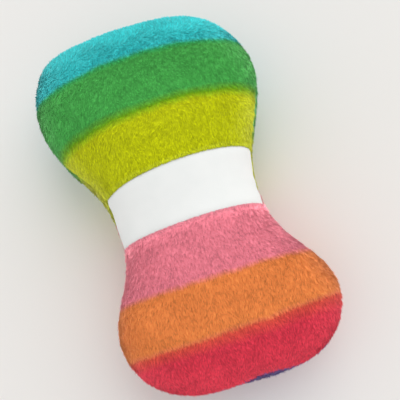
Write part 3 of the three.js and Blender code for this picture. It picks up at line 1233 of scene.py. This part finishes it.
@dataclass
class SewnPanel:
    """One panel of the cover: a knitted cloth whose seam allowances are turned in."""

    name: str
    node: str
    slot: str
    cover: Cover
    side: Side
    start: float
    end: float
    finish: Finish
    rests_on: tuple[str, ...]
    inset: float = 0.55 * MM
    cloth_thickness: float = 0.8 * MM
    allowance: float = 6 * MM
    turn_in: tuple[float, ...] = (0.15, 0.5, 1.0)
    row_step: float = 2 * MM
    columns: int = 72
    cut_width: float = field(default=0.0, init=False)
    cut_length: float = field(default=0.0, init=False)
    cut_area: float = field(default=0.0, init=False)

    @property
    def front(self) -> bool:
        """Whether the panel lies on the toy's front."""
        return self.side is Side.FRONT

    @property
    def start_is_cut(self) -> bool:
        """Whether its near edge meets the band's seam."""
        return self.start > -self.cover.form.half_length

    @property
    def end_is_cut(self) -> bool:
        """Whether its far edge meets the band's seam."""
        return self.end < self.cover.form.half_length

    def build(self) -> list[Piece]:
        """Builds the panel's pieces, the cloth first."""
        return [self.build_backing()]

    def declare(self, pieces: list[Piece]) -> None:
        """Args:
            pieces: the panel's pieces, the cloth first; not used.
        """

    def build_backing(self) -> Piece:
        """Builds the cloth with its allowances turned in, as a closed thin shell.

        Returns:
            The backing.
        """
        form = self.cover.form
        gap = form.seam_gap / 2
        start = self.start + (gap if self.start_is_cut else self.inset)
        end = self.end - (gap if self.end_is_cut else self.inset)
        rows = form.rows(start, end, self.row_step)
        places, row_fold = self.with_allowances(rows, self.start_is_cut, self.end_is_cut)
        columns = self.side.value + np.linspace(0, math.pi, self.columns)
        angles, column_fold = self.with_allowances(columns, True, True)
        place, angle = np.meshgrid(places, angles, indexing="ij")
        fold = row_fold[:, None] + column_fold[None, :]
        points, _ = self.cover.surface(place, angle, self.inset, self.front)
        shrink = 1 - fold / (form.half_length - self.inset)
        folded = self.fold_points(place * np.where(fold > 0, shrink, 1), angle, fold)
        points = np.where((fold > 0)[..., None], folded, points)
        self.note_cut(points)
        level = points[..., 2]
        points[..., 2] = np.maximum(level, gap) if self.front else np.minimum(level, -gap)
        placed = form.placed(points).reshape(-1, 3)
        backing = mesh_object(self.name + "_backing", placed, grid_faces(*place.shape))
        clean(backing)
        shell = backing.modifiers.new("cloth", "SOLIDIFY")
        shell.thickness = self.cloth_thickness
        shell.offset = -1
        apply_modifiers(backing)
        shade_smooth(backing)
        return backing

    def with_allowances(self, lines: np.ndarray, start: bool, end: bool) -> tuple[np.ndarray, np.ndarray]:
        """Adds the lines of the turned-in allowances to the lines of the cloth's grid.

        Args:
            lines: the places of the rows or the angles of the columns.
            start: whether an allowance is turned in before the first.
            end: whether one is turned in after the last.

        Returns:
            All lines, and how far each is turned in.
        """
        turn_in = np.array(self.turn_in) * self.allowance
        before = turn_in[::-1] if start else turn_in[:0]
        after = turn_in if end else turn_in[:0]
        everything = np.pad(lines, (len(before), len(after)), mode="edge")
        return everything, np.concatenate([before, np.zeros(len(lines)), after])

    def fold_points(self, place: np.ndarray, angle: np.ndarray, fold: np.ndarray) -> np.ndarray:
        """Points of the turned-in allowances, which lie flat against their neighbours'."""
        seam_depth = self.cover.side_seam_depth
        return self.cover.form.point(place, angle, self.inset + seam_depth + fold)

    def note_cut(self, points: np.ndarray) -> None:
        """Notes the size that the cloth was cut to, with its allowances.

        Args:
            points: the cloth's grid of points, in rows across the toy.
        """
        ahead, aside = np.diff(points, axis=0), np.diff(points, axis=1)
        closed_ends = 2 - self.start_is_cut - self.end_is_cut
        middle_column = ahead[:, ahead.shape[1] // 2]
        self.cut_length = float(np.linalg.norm(middle_column, axis=-1).sum()) + closed_ends * self.allowance
        self.cut_width = float(np.linalg.norm(aside, axis=-1).sum(axis=1).max())
        cells = np.cross(ahead[:, :-1], aside[:-1])
        self.cut_area = float(np.linalg.norm(cells, axis=-1).sum())

    def dress(self, pieces: list[Piece]) -> None:
        """Gives the panel its finish and hides the node that it stands for.

        Args:
            pieces: the panel's pieces, the backing first.
        """
        for piece in pieces:
            self.finish.dress(piece)
        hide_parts(self.node)


@dataclass
class PlushPanel(SewnPanel):
    """A panel whose backing carries a short pile, brushed along the toy."""

    tufts: int = 45000
    tuft_length: float = 2.8 * MM
    tuft_width: float = 0.72 * MM
    tuft_length_spread: tuple[float, float] = (0.8, 1.15)
    tuft_width_spread: tuple[float, float] = (0.75, 1.2)
    tuft_lean: float = math.radians(74)
    tuft_lean_spread: float = math.radians(7)
    brush_swing: float = math.radians(32)
    brush_patch: float = 24 * MM
    stray: float = math.radians(13)
    tuft_roll: float = math.radians(11)
    tuft_flatness: float = 0.35
    splay_reach: float = 1.6 * MM
    splay_strength: float = 1.5
    splay_unevenness: float = 0.9 * MM
    fringe: int = 1600
    fringe_depth: float = 1.6 * MM
    seam_splay: float = 0.35
    stand_reach: float = 4 * MM
    end_turn_start: float = 74 * MM
    end_turn_reach: float = 14 * MM
    trim_past_seam: float = 0.6 * MM
    trim_unevenness: float = 0.12 * MM
    shortest_trim: float = 0.3
    root_depth: float = 0.3 * MM
    root_margin: float = 0.3 * MM
    root_row_step: float = 1.5 * MM
    root_columns: int = 121
    softness: float = 0.8
    tip_outlook: float = 0.3
    upward_glow: float = 0.55
    seed: int = 1
    brush_seed: int = 40
    map_margin: float = 0.004
    map_tuft: tuple[float, float] = (0.0006, 0.0022)

    def build(self) -> list[Piece]:
        """Builds the panel's pieces, the cloth first."""
        return [self.build_backing(), self.build_pile()]

    def root_places(self, draw: np.random.Generator) -> tuple[np.ndarray, np.ndarray]:
        """Spreads the tufts' roots evenly over the panel, and more of them along the band's seam.

        Args:
            draw: the seeded source of chance.

        Returns:
            Their places along the toy and their angles.
        """
        form = self.cover.form
        rows = form.rows(
            self.start + (self.root_margin if self.start_is_cut else self.inset),
            self.end - (self.root_margin if self.end_is_cut else self.inset),
            self.root_row_step,
        )
        angles = self.side.value + np.linspace(0, math.pi, self.root_columns)
        place, angle = np.meshgrid(rows, angles, indexing="ij")
        points = form.point(place, angle, self.inset)
        cells = np.cross(points[1:, :-1] - points[:-1, :-1], points[:-1, 1:] - points[:-1, :-1])
        areas = np.linalg.norm(cells, axis=-1)
        chosen = draw.choice(areas.size, self.tufts, p=areas.ravel() / areas.sum())
        row, column = np.unravel_index(chosen, areas.shape)
        places = rows[row] + (rows[row + 1] - rows[row]) * draw.random(self.tufts)
        turns = angles[column] + (angles[1] - angles[0]) * draw.random(self.tufts)
        if not self.front:
            return places, turns
        off_seam = self.root_margin + self.fringe_depth * draw.random(self.fringe)
        edge = self.start + off_seam if self.start_is_cut else self.end - off_seam
        fringe_turns = self.side.value + math.pi * draw.random(self.fringe)
        return np.concatenate([places, edge]), np.concatenate([turns, fringe_turns])

    def lie(
        self, place: np.ndarray, roots: np.ndarray, outward: np.ndarray, draw: np.random.Generator
    ) -> np.ndarray:
        """The direction that each tuft leans over in, along the surface.

        Args:
            place: the roots' places along the toy.
            roots: their points in the form's frame.
            outward: the surface's outward directions there.
            draw: the seeded source of chance.

        Returns:
            Unit vectors along the surface.
        """
        form = self.cover.form
        down_nap = unit(np.array([0.0, -1.0, 0.0]) - outward * (-outward[:, 1:2]))
        sideways = np.cross(outward, down_nap)
        swing = self.brush_swing * SoftWaves(self.brush_patch, self.seed + self.brush_seed).at(roots)
        swing = swing + draw.normal(0, self.stray, len(place))
        over_end = np.clip((roots[:, 1] - self.end_turn_start) / self.end_turn_reach, 0, 1)
        swing = swing + math.pi * over_end
        lying = down_nap * np.cos(swing)[:, None] + sideways * np.sin(swing)[:, None]
        if self.front:
            to_band = 1.0 if self.end_is_cut else -1.0
            seam = form.band_bottom if self.end_is_cut else form.band_top
            off_seam = np.abs(place - seam) + draw.normal(0, self.splay_unevenness, len(place))
            near = np.minimum(self.splay_strength * np.exp(-off_seam / self.splay_reach), 1)[:, None]
            lying = lying * (1 - near) + np.array([0.0, to_band, 0.0]) * near
        near = np.exp(-np.abs(roots[:, 2]) / self.splay_reach)[:, None]
        towards_seam = np.array([0.0, 0.0, -1.0 if self.front else 1.0])
        lying = lying * (1 - self.seam_splay * near) + towards_seam * self.seam_splay * near
        return unit(lying - outward * np.sum(lying * outward, axis=1, keepdims=True))

    def build_pile(self) -> Piece:
        """Plants the tufts: flat three-sided locks that lean down the nap with a broad side up.

        Returns:
            The pile.
        """
        draw = np.random.default_rng(self.seed)
        form = self.cover.form
        place, angle = self.root_places(draw)
        roots, outward = self.cover.surface(place, angle, self.inset, self.front)
        lying = self.lie(place, roots, outward, draw)
        lean = self.tuft_lean + draw.normal(0, self.tuft_lean_spread, len(place))
        lean = lean * (1 - self.standing(roots))
        heading = outward * np.cos(lean)[:, None] + lying * np.sin(lean)[:, None]
        length = self.tuft_length * draw.uniform(*self.tuft_length_spread, len(place))
        width = self.tuft_width * draw.uniform(*self.tuft_width_spread, len(place))
        across = unit(np.cross(heading, outward))
        above = np.cross(heading, across)
        roll = draw.normal(0, self.tuft_roll, len(place))
        base = roots - outward * self.root_depth
        length = length * self.trimmed(base, heading * length[:, None], draw)
        flat = across * np.cos(roll)[:, None] + above * np.sin(roll)[:, None]
        deep = np.cross(heading, flat)
        corners, bulges = [], []
        for side, depth in ((-0.5, 0.0), (0.5, 0.0), (0.0, self.tuft_flatness)):
            spoke = flat * side + deep * depth
            corners.append(base + spoke * width[:, None])
            bulges.append(unit(flat * side - deep / 2) if side else deep)
        tip = base + heading * length[:, None]
        points = np.stack([*corners, tip], axis=1).reshape(-1, 3)
        first = np.arange(len(place))[:, None] * 4
        sides = np.array([[0, 1, 3], [1, 2, 3], [2, 0, 3], [0, 2, 1]])
        faces = (first[:, None, :] + sides[None, :, :]).reshape(-1, 3)
        pile = mesh_object(self.name + "_pile", form.placed(points), faces)
        shade_smooth(pile)
        soft = outward * self.softness + np.array([0.0, 0.0, self.upward_glow])
        directions = [unit(bulge * (1 - self.softness) + soft) for bulge in bulges]
        directions.append(unit(heading * self.tip_outlook * (1 - self.softness) + soft))
        normals = np.stack(directions, axis=1).reshape(-1, 3)
        pile.data.normals_split_custom_set_from_vertices(normals)
        self.map_pile(pile, place, angle)
        return pile

    def standing(self, roots: np.ndarray) -> np.ndarray:
        """How far tufts of the back stand out past the side seam, where the seam rolls to the front.

        Args:
            roots: the tufts' roots in the form's frame.

        Returns:
            A value from 0 for lying tufts to 1 for upright ones.
        """
        if self.front:
            return np.zeros(len(roots))
        form = self.cover.form
        most = np.max([roll.stand * form.near(roll, roots) for roll in form.rolls], axis=0)
        return most * np.exp(-np.abs(roots[:, 2]) / self.stand_reach)

    def trimmed(self, base: np.ndarray, reach: np.ndarray, draw: np.random.Generator) -> np.ndarray:
        """How much of each tuft is left by the shears that cut the pile even along the band's seam.

        Args:
            base: the tufts' feet in the form's frame.
            reach: the vectors from feet to tips.
            draw: the seeded source of chance.

        Returns:
            The share of its length that each tuft keeps.
        """
        if not self.front:
            return np.ones(len(base))
        over = self.trim_past_seam + draw.normal(0, self.trim_unevenness, len(base))
        foot, tip = self.past_seam(base) + over, self.past_seam(base + reach) + over
        share = np.where(tip < 0, foot / np.maximum(foot - tip, TINY), 1.0)
        return np.clip(share, self.shortest_trim, 1.0)

    def past_seam(self, points: np.ndarray) -> np.ndarray:
        """How far points lie on this panel's own side of the band's seam."""
        form = self.cover.form
        seam, way = (form.band_top, 1.0) if self.start_is_cut else (form.band_bottom, -1.0)
        off_middle = points[:, 0] - form.middle_line(np.array(seam))
        return way * (points[:, 1] - seam - form.twist.shift(np.array(seam), points[:, 0], off_middle))

    def map_pile(self, pile: Piece, place: np.ndarray, angle: np.ndarray) -> None:
        """Lays each tuft's faces out round its root on a map of the panel.

        Args:
            pile: the pile's object.
            place: the roots' places along the toy.
            angle: their angles.
        """
        u = (angle - self.side.value) / math.pi
        v = (place - self.start) / (self.end - self.start)
        root = self.map_margin + np.stack([u, v], axis=1) * (1 - 2 * self.map_margin)
        # A lock's three sides stand side by side and its foot hangs under them, in steps of map_tuft
        fan = np.array(
            [
                [[-3, 0], [-1, 0], [-2, 1]],
                [[-1, 0], [1, 0], [0, 1]],
                [[1, 0], [3, 0], [2, 1]],
                [[-1, 0], [0, -0.4], [1, 0]],
            ]
        ) * np.array(self.map_tuft)
        layout = root[:, None, None, :] + fan[None]
        uv = pile.data.uv_layers.new(name=BAKE_MAP)
        uv.data.foreach_set("uv", np.asarray(layout, np.float32).ravel())


@dataclass(frozen=True)
class PressDimple:
    """How the front would give when the waist is pressed, most over the squeaker and nothing at the seam
    plane; no bend is set up.
    """

    form: ToyForm
    band_height: float
    fade: float = 52 * MM
    fade_gain: float = 1.1

    def bend(self, piece: Piece, seam: float | None = None) -> None:
        """Bakes a piece's place into its mesh; it works out the bend's slope and start but sets up no bend.

        Args:
            piece: a mesh that is final.
            seam: the place of the band's seam beside it, or None for a piece at the waist.
        """
        rise = self.band_height - self.form.seam_height
        slope = np.array([0.0, 0.0, 1 / rise])
        start = np.array([self.form.middle_x, 0.0, self.form.seam_height])
        if seam is not None:
            slope[1] = -math.copysign(self.fade_gain / self.fade, seam - self.form.waist_place)
            start[1] = seam
        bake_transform(piece)


# The studio


@dataclass(frozen=True)
class Studio:
    """A pale floor, soft light from the upper right and the photograph's camera."""

    form: ToyForm
    camera_tilt: tuple[float, float, float] = (-0.27304, -0.07682, 0.29871)
    camera_shift: tuple[float, float] = (-9.682 * MM, 3.529 * MM)
    camera_distance: float = 330 * MM
    picture_pixels: float = 400
    focal_pixels: float = 638.1
    sensor: float = 36.0
    floor_size: float = 6.0
    floor_paint: MattePaint = MattePaint()
    sky_level: float = 0.78
    key_level: float = 1.15
    key_side: tuple[float, float, float] = (0.85, 0.8, 1.0)
    fill_level: float = 0.15
    fill_side: tuple[float, float, float] = (-0.7, -0.4, 0.6)
    softness: float = math.radians(70)

    def add_camera(self) -> None:
        """Stands the camera where the photograph was taken from."""
        turn = (
            Matrix.Rotation(self.camera_tilt[2], 3, "Z")
            @ Matrix.Rotation(self.camera_tilt[1], 3, "Y")
            @ Matrix.Rotation(self.camera_tilt[0], 3, "X")
        )
        back = turn.transposed()
        away = Vector((*self.camera_shift, -self.camera_distance))
        stand = Vector((self.form.middle_x, 0.0, self.form.seam_height)) - back @ away
        data = bpy.data.cameras.new("photo_camera")
        data.sensor_width = self.sensor
        data.lens = self.sensor * self.focal_pixels / self.picture_pixels
        camera = bpy.data.objects.new("photo_camera", data)
        camera.matrix_world = Matrix.Translation(stand) @ back.to_4x4()
        bpy.context.scene.collection.objects.link(camera)
        bpy.context.scene.camera = camera

    def add_lamp(self, name: str, from_side: tuple[float, float, float], level: float) -> None:
        """Adds the even light of one wide, far soft box.

        Args:
            name: the lamp's name.
            from_side: the direction that it shines from.
            level: its strength in watts for each square metre.
        """
        data = bpy.data.lights.new(name, "SUN")
        data.angle = self.softness
        data.energy = level
        lamp = bpy.data.objects.new(name, data)
        lamp.location = from_side
        lamp.rotation_euler = (-Vector(from_side)).to_track_quat("-Z", "Y").to_euler()
        bpy.context.scene.collection.objects.link(lamp)

    def add_floor(self) -> None:
        """Lays the pale floor."""
        half = self.floor_size / 2
        corners = np.array([[-half, -half, 0], [half, -half, 0], [half, half, 0], [-half, half, 0]])
        floor = mesh_object("floor", corners, np.array([[0, 1, 2, 3]]))
        self.floor_paint.dress(floor)
        floor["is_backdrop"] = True

    def add_sky(self) -> None:
        """Surrounds the toy by an even pale light, which shows as a pale backdrop."""
        world = bpy.data.worlds.new("studio")
        bpy.context.scene.world = world
        world.use_nodes = True
        tree = world.node_tree
        light = tree.nodes["Background"]
        light.inputs["Color"].default_value = (1, 1, 1, 1)
        light.inputs["Strength"].default_value = self.sky_level
        shown = add_node(tree, "Background", {"Color": linear(self.floor_paint.colour), "Strength": 1.0})
        seen = add_node(tree, "LightPath").outputs["Is Camera Ray"]
        both = add_node(tree, "MixShader", {}, {0: seen, 1: light.outputs[0], 2: shown.outputs[0]})
        tree.links.new(both.outputs[0], tree.nodes["World Output"].inputs["Surface"])

    def build(self) -> None:
        """Sets up the whole studio."""
        bpy.context.scene.view_settings.view_transform = "Standard"
        self.add_camera()
        self.add_floor()
        self.add_sky()
        self.add_lamp("key_box", self.key_side, self.key_level)
        self.add_lamp("fill_box", self.fill_side, self.fill_level)


# The parts of the toy


@dataclass
class PlushCover:
    """The sewn cover: two striped plush panels and a bare band in front, one striped plush panel behind."""

    form: ToyForm
    dimple: PressDimple
    red_to_orange: float = -76.5 * MM
    orange_to_pink: float = -51.0 * MM
    lime_to_green: float = 37.6 * MM
    green_to_turquoise: float = 71.1 * MM
    back_step: float = 16.8 * MM
    back_slant: Slant = Slant(-0.045, 13 * MM, 44 * MM)
    back_purple_to_red: float = -92 * MM
    rim: float = 0.7 * MM

    def plush(self, name: str, edges: tuple[Edge, ...], twist: PrintTwist) -> PrintedPlush:
        """Makes one panel's finish.

        Args:
            name: the finish's name.
            edges: the edges of its printed stripes.
            twist: how the print lies on the panel.

        Returns:
            The finish.
        """
        return PrintedPlush(name, edges=edges, twist=twist, seam_height=self.form.seam_height)

    def cool_edges(self, step: float) -> tuple[Edge, ...]:
        """The print's edges from lime on to turquoise.

        Args:
            step: how far the print lies towards the near end.

        Returns:
            The two edges.
        """
        return (
            Edge(
                self.lime_to_green - step,
                Hue.LIME,
                Hue.LIME_TO_GREEN,
                Hue.GREEN_TO_LIME,
                Hue.GREEN,
                near_line=3.6 * MM,
                far_line=5.2 * MM,
            ),
            Edge(
                self.green_to_turquoise - step,
                Hue.GREEN,
                Hue.GREEN_EDGE,
                Hue.TURQUOISE_EDGE,
                Hue.TURQUOISE,
                near_line=3.6 * MM,
                far_line=1.8 * MM,
                blur=2 * MM,
            ),
        )

    def warm_edges(self, step: float) -> tuple[Edge, ...]:
        """The print's edges from red on to pink.

        Args:
            step: how far the print lies towards the far end.

        Returns:
            The two edges.
        """
        return (
            Edge(
                self.red_to_orange + step,
                Hue.RED,
                Hue.RED_TO_ORANGE,
                Hue.ORANGE_TO_RED,
                Hue.ORANGE,
                near_line=6 * MM,
                far_line=2 * MM,
            ),
            Edge(
                self.orange_to_pink + step,
                Hue.ORANGE,
                Hue.ORANGE,
                Hue.PINK,
                Hue.PINK,
                near_line=1.8 * MM,
                far_line=1.8 * MM,
                blur=3 * MM,
            ),
        )

    def prints(self) -> dict[str, PrintedPlush]:
        """The finishes of the three plush panels.

        The back is one length of the same fabric, cut with no band and with its stripes further down.

        Returns:
            One finish for each panel.
        """
        form = self.form
        lime_rim = Edge(form.band_top + self.rim, Hue.LIME_RIM, Hue.LIME_RIM, Hue.LIME_RIM, Hue.LIME)
        pink_rim = Edge(form.band_bottom - self.rim, Hue.PINK, Hue.PINK_RIM, Hue.PINK_RIM, Hue.PINK_RIM)
        back_middle = form.band_top - self.back_step
        back_warm_step = back_middle - form.band_bottom
        join = Edge(back_middle, Hue.PINK, Hue.PINK_RIM, Hue.LIME_RIM, Hue.LIME)
        purple = Edge(self.back_purple_to_red, Hue.PURPLE, Hue.PURPLE, Hue.RED, Hue.RED)
        twist = form.twist
        return {
            "top": self.plush("printed_plush_cool", (lime_rim, *self.cool_edges(0.0)), twist),
            "bottom": self.plush("printed_plush_warm", (*self.warm_edges(0.0), pink_rim), twist),
            "back": self.plush(
                "printed_plush_back",
                (purple, *self.warm_edges(back_warm_step), join, *self.cool_edges(self.back_step)),
                replace(twist, slants=(self.back_slant,)),
            ),
        }

    def build(self) -> None:
        """Builds and dresses the four panels."""
        form, cover, prints = self.form, Cover(self.form), self.prints()
        top = PlushPanel(
            name="front_top",
            node="front_top_panel",
            slot="plush_cool_stripes",
            cover=cover,
            side=Side.FRONT,
            start=form.band_top,
            end=form.half_length,
            finish=prints["top"],
            rests_on=("stuffing_top", "stuffing_waist"),
            seed=3,
        )
        bottom = PlushPanel(
            name="front_bottom",
            node="front_bottom_panel",
            slot="plush_warm_stripes",
            cover=cover,
            side=Side.FRONT,
            start=-form.half_length,
            end=form.band_bottom,
            finish=prints["bottom"],
            rests_on=("stuffing_bottom", "stuffing_waist"),
            seed=5,
        )
        back = PlushPanel(
            name="back",
            node="back_panel",
            slot="plush_back_stripes",
            cover=cover,
            side=Side.BACK,
            start=-form.half_length,
            end=form.half_length,
            finish=prints["back"],
            rests_on=("stuffing_top", "stuffing_waist", "stuffing_bottom"),
            tufts=49000,
            tuft_width=0.9 * MM,
            seed=7,
        )
        band = SewnPanel(
            name="front_centre",
            node="front_centre_band",
            slot="white_band_fabric",
            cover=cover,
            side=Side.FRONT,
            start=form.band_bottom,
            end=form.band_top,
            finish=BareKnit(),
            rests_on=("stuffing_press_plug", "stuffing_waist"),
            inset=0.5 * MM,
            cloth_thickness=1.2 * MM,
            row_step=0.8 * MM,
            columns=96,
        )
        for panel, seam in ((top, form.band_top), (bottom, form.band_bottom), (back, None), (band, None)):
            pieces = panel.build()
            panel.dress(pieces)
            panel.declare(pieces)
            for piece in pieces:
                if panel is back:
                    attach(piece, REST_BODY)
                else:
                    self.dimple.bend(piece, seam)
            size = (panel.cut_width / MM, panel.cut_length / MM)
            log.info("%s panel: %d pieces, cut to %.0f x %.0f mm", panel.name, len(pieces), *size)


@dataclass
class SeamThreads:
    """The machine seams round the toy and across its front, and the hand stitches that close it."""

    form: ToyForm
    dimple: PressDimple
    depth: float = 3.3 * MM
    thread_radius: float = 0.22 * MM
    stitch_pitch: float = 2.6 * MM
    stitch_rise: float = 0.3 * MM
    turning_gap: float = 60 * MM
    hand_pitch: float = 6 * MM
    hand_rise: float = 0.5 * MM
    stitch_points: int = 8
    outline_step: float = 0.5 * MM
    band_margin: float = 0.04
    band_points: int = 200
    sides: int = 6

    def outline(self) -> np.ndarray:
        """The side seam's line at the threads' depth, once round from the middle of the near end.

        Returns:
            Points at even steps, in the form's frame.
        """
        end = self.form.half_length - self.depth
        rows = self.form.rows(-end, end, self.outline_step)
        right = self.form.point(rows, np.zeros(len(rows)), self.depth)
        left = self.form.point(rows[::-1], np.full(len(rows), math.pi), self.depth)
        line = np.concatenate([right, left[1:-1], right[:1]])
        line[:, 2] = 0.0
        return line

    def stitched(self, line: np.ndarray, pitch: float, rise: float, lift: np.ndarray) -> np.ndarray:
        """Runs a thread in and out along a line.

        Args:
            line: the seam's line.
            pitch: the length of one stitch.
            rise: how far it rises and falls.
            lift: the direction that it rises in.

        Returns:
            The thread's centreline.
        """
        travel = travelled(line)
        count = max(1, round(travel[-1] / pitch)) * self.stitch_points
        at = np.linspace(0, travel[-1], count + 1)
        even = np.stack([np.interp(at, travel, line[:, i]) for i in range(3)], axis=1)
        return even + lift * (rise * np.sin(at / pitch * FULL_TURN))[:, None]

    def build(self) -> None:
        """Builds, dresses and places the four threads."""
        thread = SpunThread()
        line = self.outline()
        travel = travelled(line)
        closing = (travel < self.turning_gap / 2) | (travel > travel[-1] - self.turning_gap / 2)
        up, along = np.array([0.0, 0.0, 1.0]), np.array([0.0, 1.0, 0.0])
        split = int(np.argmax(travel > travel[-1] / 2))
        closing_line = np.concatenate([line[split:][closing[split:]], line[1:split][closing[1:split]]])
        threads = {
            "perimeter_seam_stitches": (
                "perimeter_seam_thread",
                self.stitched(line[~closing], self.stitch_pitch, self.stitch_rise, up),
            ),
            "closing_hand_stitches": (
                "closing_stitch",
                self.stitched(closing_line, self.hand_pitch, self.hand_rise, up),
            ),
        }
        turn = np.linspace(self.band_margin, math.pi - self.band_margin, self.band_points)
        for name, node, seam in (
            ("upper_band_stitches", "upper_band_seam_thread", self.form.band_top),
            ("lower_band_stitches", "lower_band_seam_thread", self.form.band_bottom),
        ):
            across = self.form.point(np.full(len(turn), seam), turn, self.depth)
            threads[name] = (node, self.stitched(across, self.stitch_pitch, self.stitch_rise, along))
        for name, (node, path) in threads.items():
            piece = tube(name, self.form.placed(path), self.thread_radius, self.sides)
            thread.dress(piece)
            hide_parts(node)
            if "band" in name:
                self.dimple.bend(piece)
            else:
                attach(piece, REST_BODY)
            log.info("%s: %d points", name, len(path))


@dataclass
class Stuffing:
    """The loose fibre that fills the lobes and the waist, and the plug of it over the squeaker."""

    form: ToyForm
    dimple: PressDimple
    voxel: float = 2.2 * MM
    wads: SoftWaves = SoftWaves(9 * MM, seed=21)
    wad_depth: float = 0.9 * MM
    softenings: int = 4
    skin_gap: float = 0.25 * MM

    def fluffed(self, name: str, node: str) -> Piece:
        """Turns a plain solid of stuffing into a rounded, lumpy wad that stays inside it.

        Args:
            name: the new piece's name.
            node: the solid that it stands for.

        Returns:
            The wad.
        """
        piece = bpy.data.objects.new(name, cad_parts[node].data.copy())
        bpy.context.scene.collection.objects.link(piece)
        remesh = piece.modifiers.new("wad", "REMESH")
        remesh.mode = "VOXEL"
        remesh.voxel_size = self.voxel
        smooth = piece.modifiers.new("soften", "SMOOTH")
        smooth.iterations = self.softenings
        apply_modifiers(piece)
        mesh = piece.data
        count = len(mesh.vertices)
        points, outward = np.zeros(count * 3), np.zeros(count * 3)
        mesh.vertices.foreach_get("co", points)
        mesh.vertices.foreach_get("normal", outward)
        points, outward = points.reshape(-1, 3), outward.reshape(-1, 3)
        hollows = (1 + self.wads.at(points)) / 2
        points = points - outward * (self.skin_gap + self.wad_depth * np.clip(hollows, 0, 1))[:, None]
        mesh.vertices.foreach_set("co", points.ravel())
        mesh.update()
        shade_smooth(piece)
        return piece

    def build(self) -> None:
        """Builds, dresses and places the four wads."""
        fibre = HollowFibre()
        wads = (
            ("stuffing_top", "fill_top_lobe", self.form.band_top),
            ("stuffing_bottom", "fill_bottom_lobe", self.form.band_bottom),
            ("stuffing_waist", "fill_waist", None),
            ("stuffing_press_plug", "fill_press_pad", None),
        )
        for name, node, seam in wads:
            piece = self.fluffed(name, node)
            fibre.dress(piece)
            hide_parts(node)
            if node == "fill_press_pad":
                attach(piece, PRESS_BODY)
            else:
                self.dimple.bend(piece, seam)
            log.info("%s: %d faces", name, len(piece.data.polygons))


@dataclass
class BellowsSqueaker:
    """The blow-moulded bellows at the waist with its moulded plug and brass reed."""

    radius: float = 22.5 * MM
    wall: float = 0.9 * MM
    pleat_depth: float = 5 * MM
    pleats: int = 3
    pleat_steps: int = 16
    crown_dome: float = 0.9 * MM
    crown_rim: float = 4 * MM
    hole_radius: float = 4.65 * MM
    arc_points: int = 5
    dome_points: int = 12
    segments: int = 96
    travel: float = 10 * MM

    def build(self) -> None:
        """Builds the bellows' three parts anew and dresses the plug and reed."""
        low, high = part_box("bellows_base")
        centre = Vector(((low.x + high.x) / 2, (low.y + high.y) / 2, 0.0))
        polyethylene = BlownPolyethylene()
        parts = (
            ("squeaker_crown", "bellows_crown", self.crown_profile(), PRESS_BODY),
            ("squeaker_wall", "bellows_wall", self.wall_profile(), REST_BODY),
            ("squeaker_base", "bellows_base", self.base_profile(), REST_BODY),
        )
        for name, node, profile, body in parts:
            piece = revolved(name, profile, centre, self.segments)
            polyethylene.dress(piece)
            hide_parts(node)
            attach(piece, body)
            log.info("%s: %d faces", name, len(piece.data.polygons))
            if node == "bellows_wall":
                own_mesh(piece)
        self.dress_reed()

    def rounded(self, corner: tuple[float, float], start: float, end: float, size: float) -> np.ndarray:
        """Points of a quarter round about a corner's centre.

        Args:
            corner: radius and height of the round's centre.
            start: the first angle, in quarter turns.
            end: the last angle, in quarter turns.
            size: the round's radius.

        Returns:
            The round's points from start to end.
        """
        turn = np.linspace(start, end, self.arc_points) * math.pi / 2
        return np.array(corner) + size * np.stack([np.cos(turn), np.sin(turn)], axis=1)

    def crown_profile(self) -> np.ndarray:
        """The crown's section: a low dome inside a rounded rim."""
        low, high = (corner.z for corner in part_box("bellows_crown"))
        rim_top = high - self.crown_dome
        rim = self.rounded((self.radius - self.wall / 2, low + self.wall / 2), -1, 0, self.wall / 2)
        edge = self.rounded((self.radius - self.wall / 2, rim_top - self.wall / 2), 0, 1, self.wall / 2)
        dome_start = self.radius - self.crown_rim
        share = np.linspace(1, 0, self.dome_points)
        dome = np.stack([dome_start * share, rim_top + self.crown_dome * (1 - share**2)], axis=1)
        return np.concatenate([[[0, low]], rim, edge, dome])

    def wall_profile(self) -> np.ndarray:
        """The wall's section: even pleats of one thickness."""
        low, high = (corner.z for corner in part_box("bellows_wall"))
        share = np.linspace(0, 1, self.pleats * self.pleat_steps + 1)
        wave = (1 - np.cos(FULL_TURN * self.pleats * share)) / 2
        outer = self.radius - self.wall - self.pleat_depth * wave
        height = low + (high - low) * share
        outside = np.stack([outer, height], axis=1)
        inside = np.stack([outer - self.wall, height], axis=1)
        return np.concatenate([outside, inside[::-1]])

    def base_profile(self) -> np.ndarray:
        """The base's section: a plate with a rounded rim round the plug's hole."""
        low, high = (corner.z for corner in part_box("bellows_base"))
        half = (high - low) / 2
        rim = self.rounded((self.radius - half, low + half), -1, 1, half)
        return np.concatenate([[[self.hole_radius, low]], rim, [[self.hole_radius, high]]])

    def dress_reed(self) -> None:
        """Dresses the plug, the reed's seat and the tongue, whose solids are right as they are."""
        polystyrene = MouldedPolystyrene()
        for node in ("reed_housing", "reed_toneboard", "reed_wedge"):
            polystyrene.dress(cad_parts[node])
        RolledBrass().dress(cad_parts["reed_tongue"])
        log.info("reed unit dressed")


def main() -> None:
    """Builds the studio and the toy, piece by piece."""
    logging.basicConfig(level=logging.INFO, format="%(name)s: %(message)s", force=True)
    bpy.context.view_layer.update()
    form = ToyForm.in_frame()
    dimple = PressDimple(form, band_height=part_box("front_centre_band")[1].z)
    Studio(form).build()
    log.info("studio ready")
    PlushCover(form, dimple).build()
    SeamThreads(form, dimple).build()
    Stuffing(form, dimple).build()
    BellowsSqueaker().build()


if __name__ == "__main__":
    main()
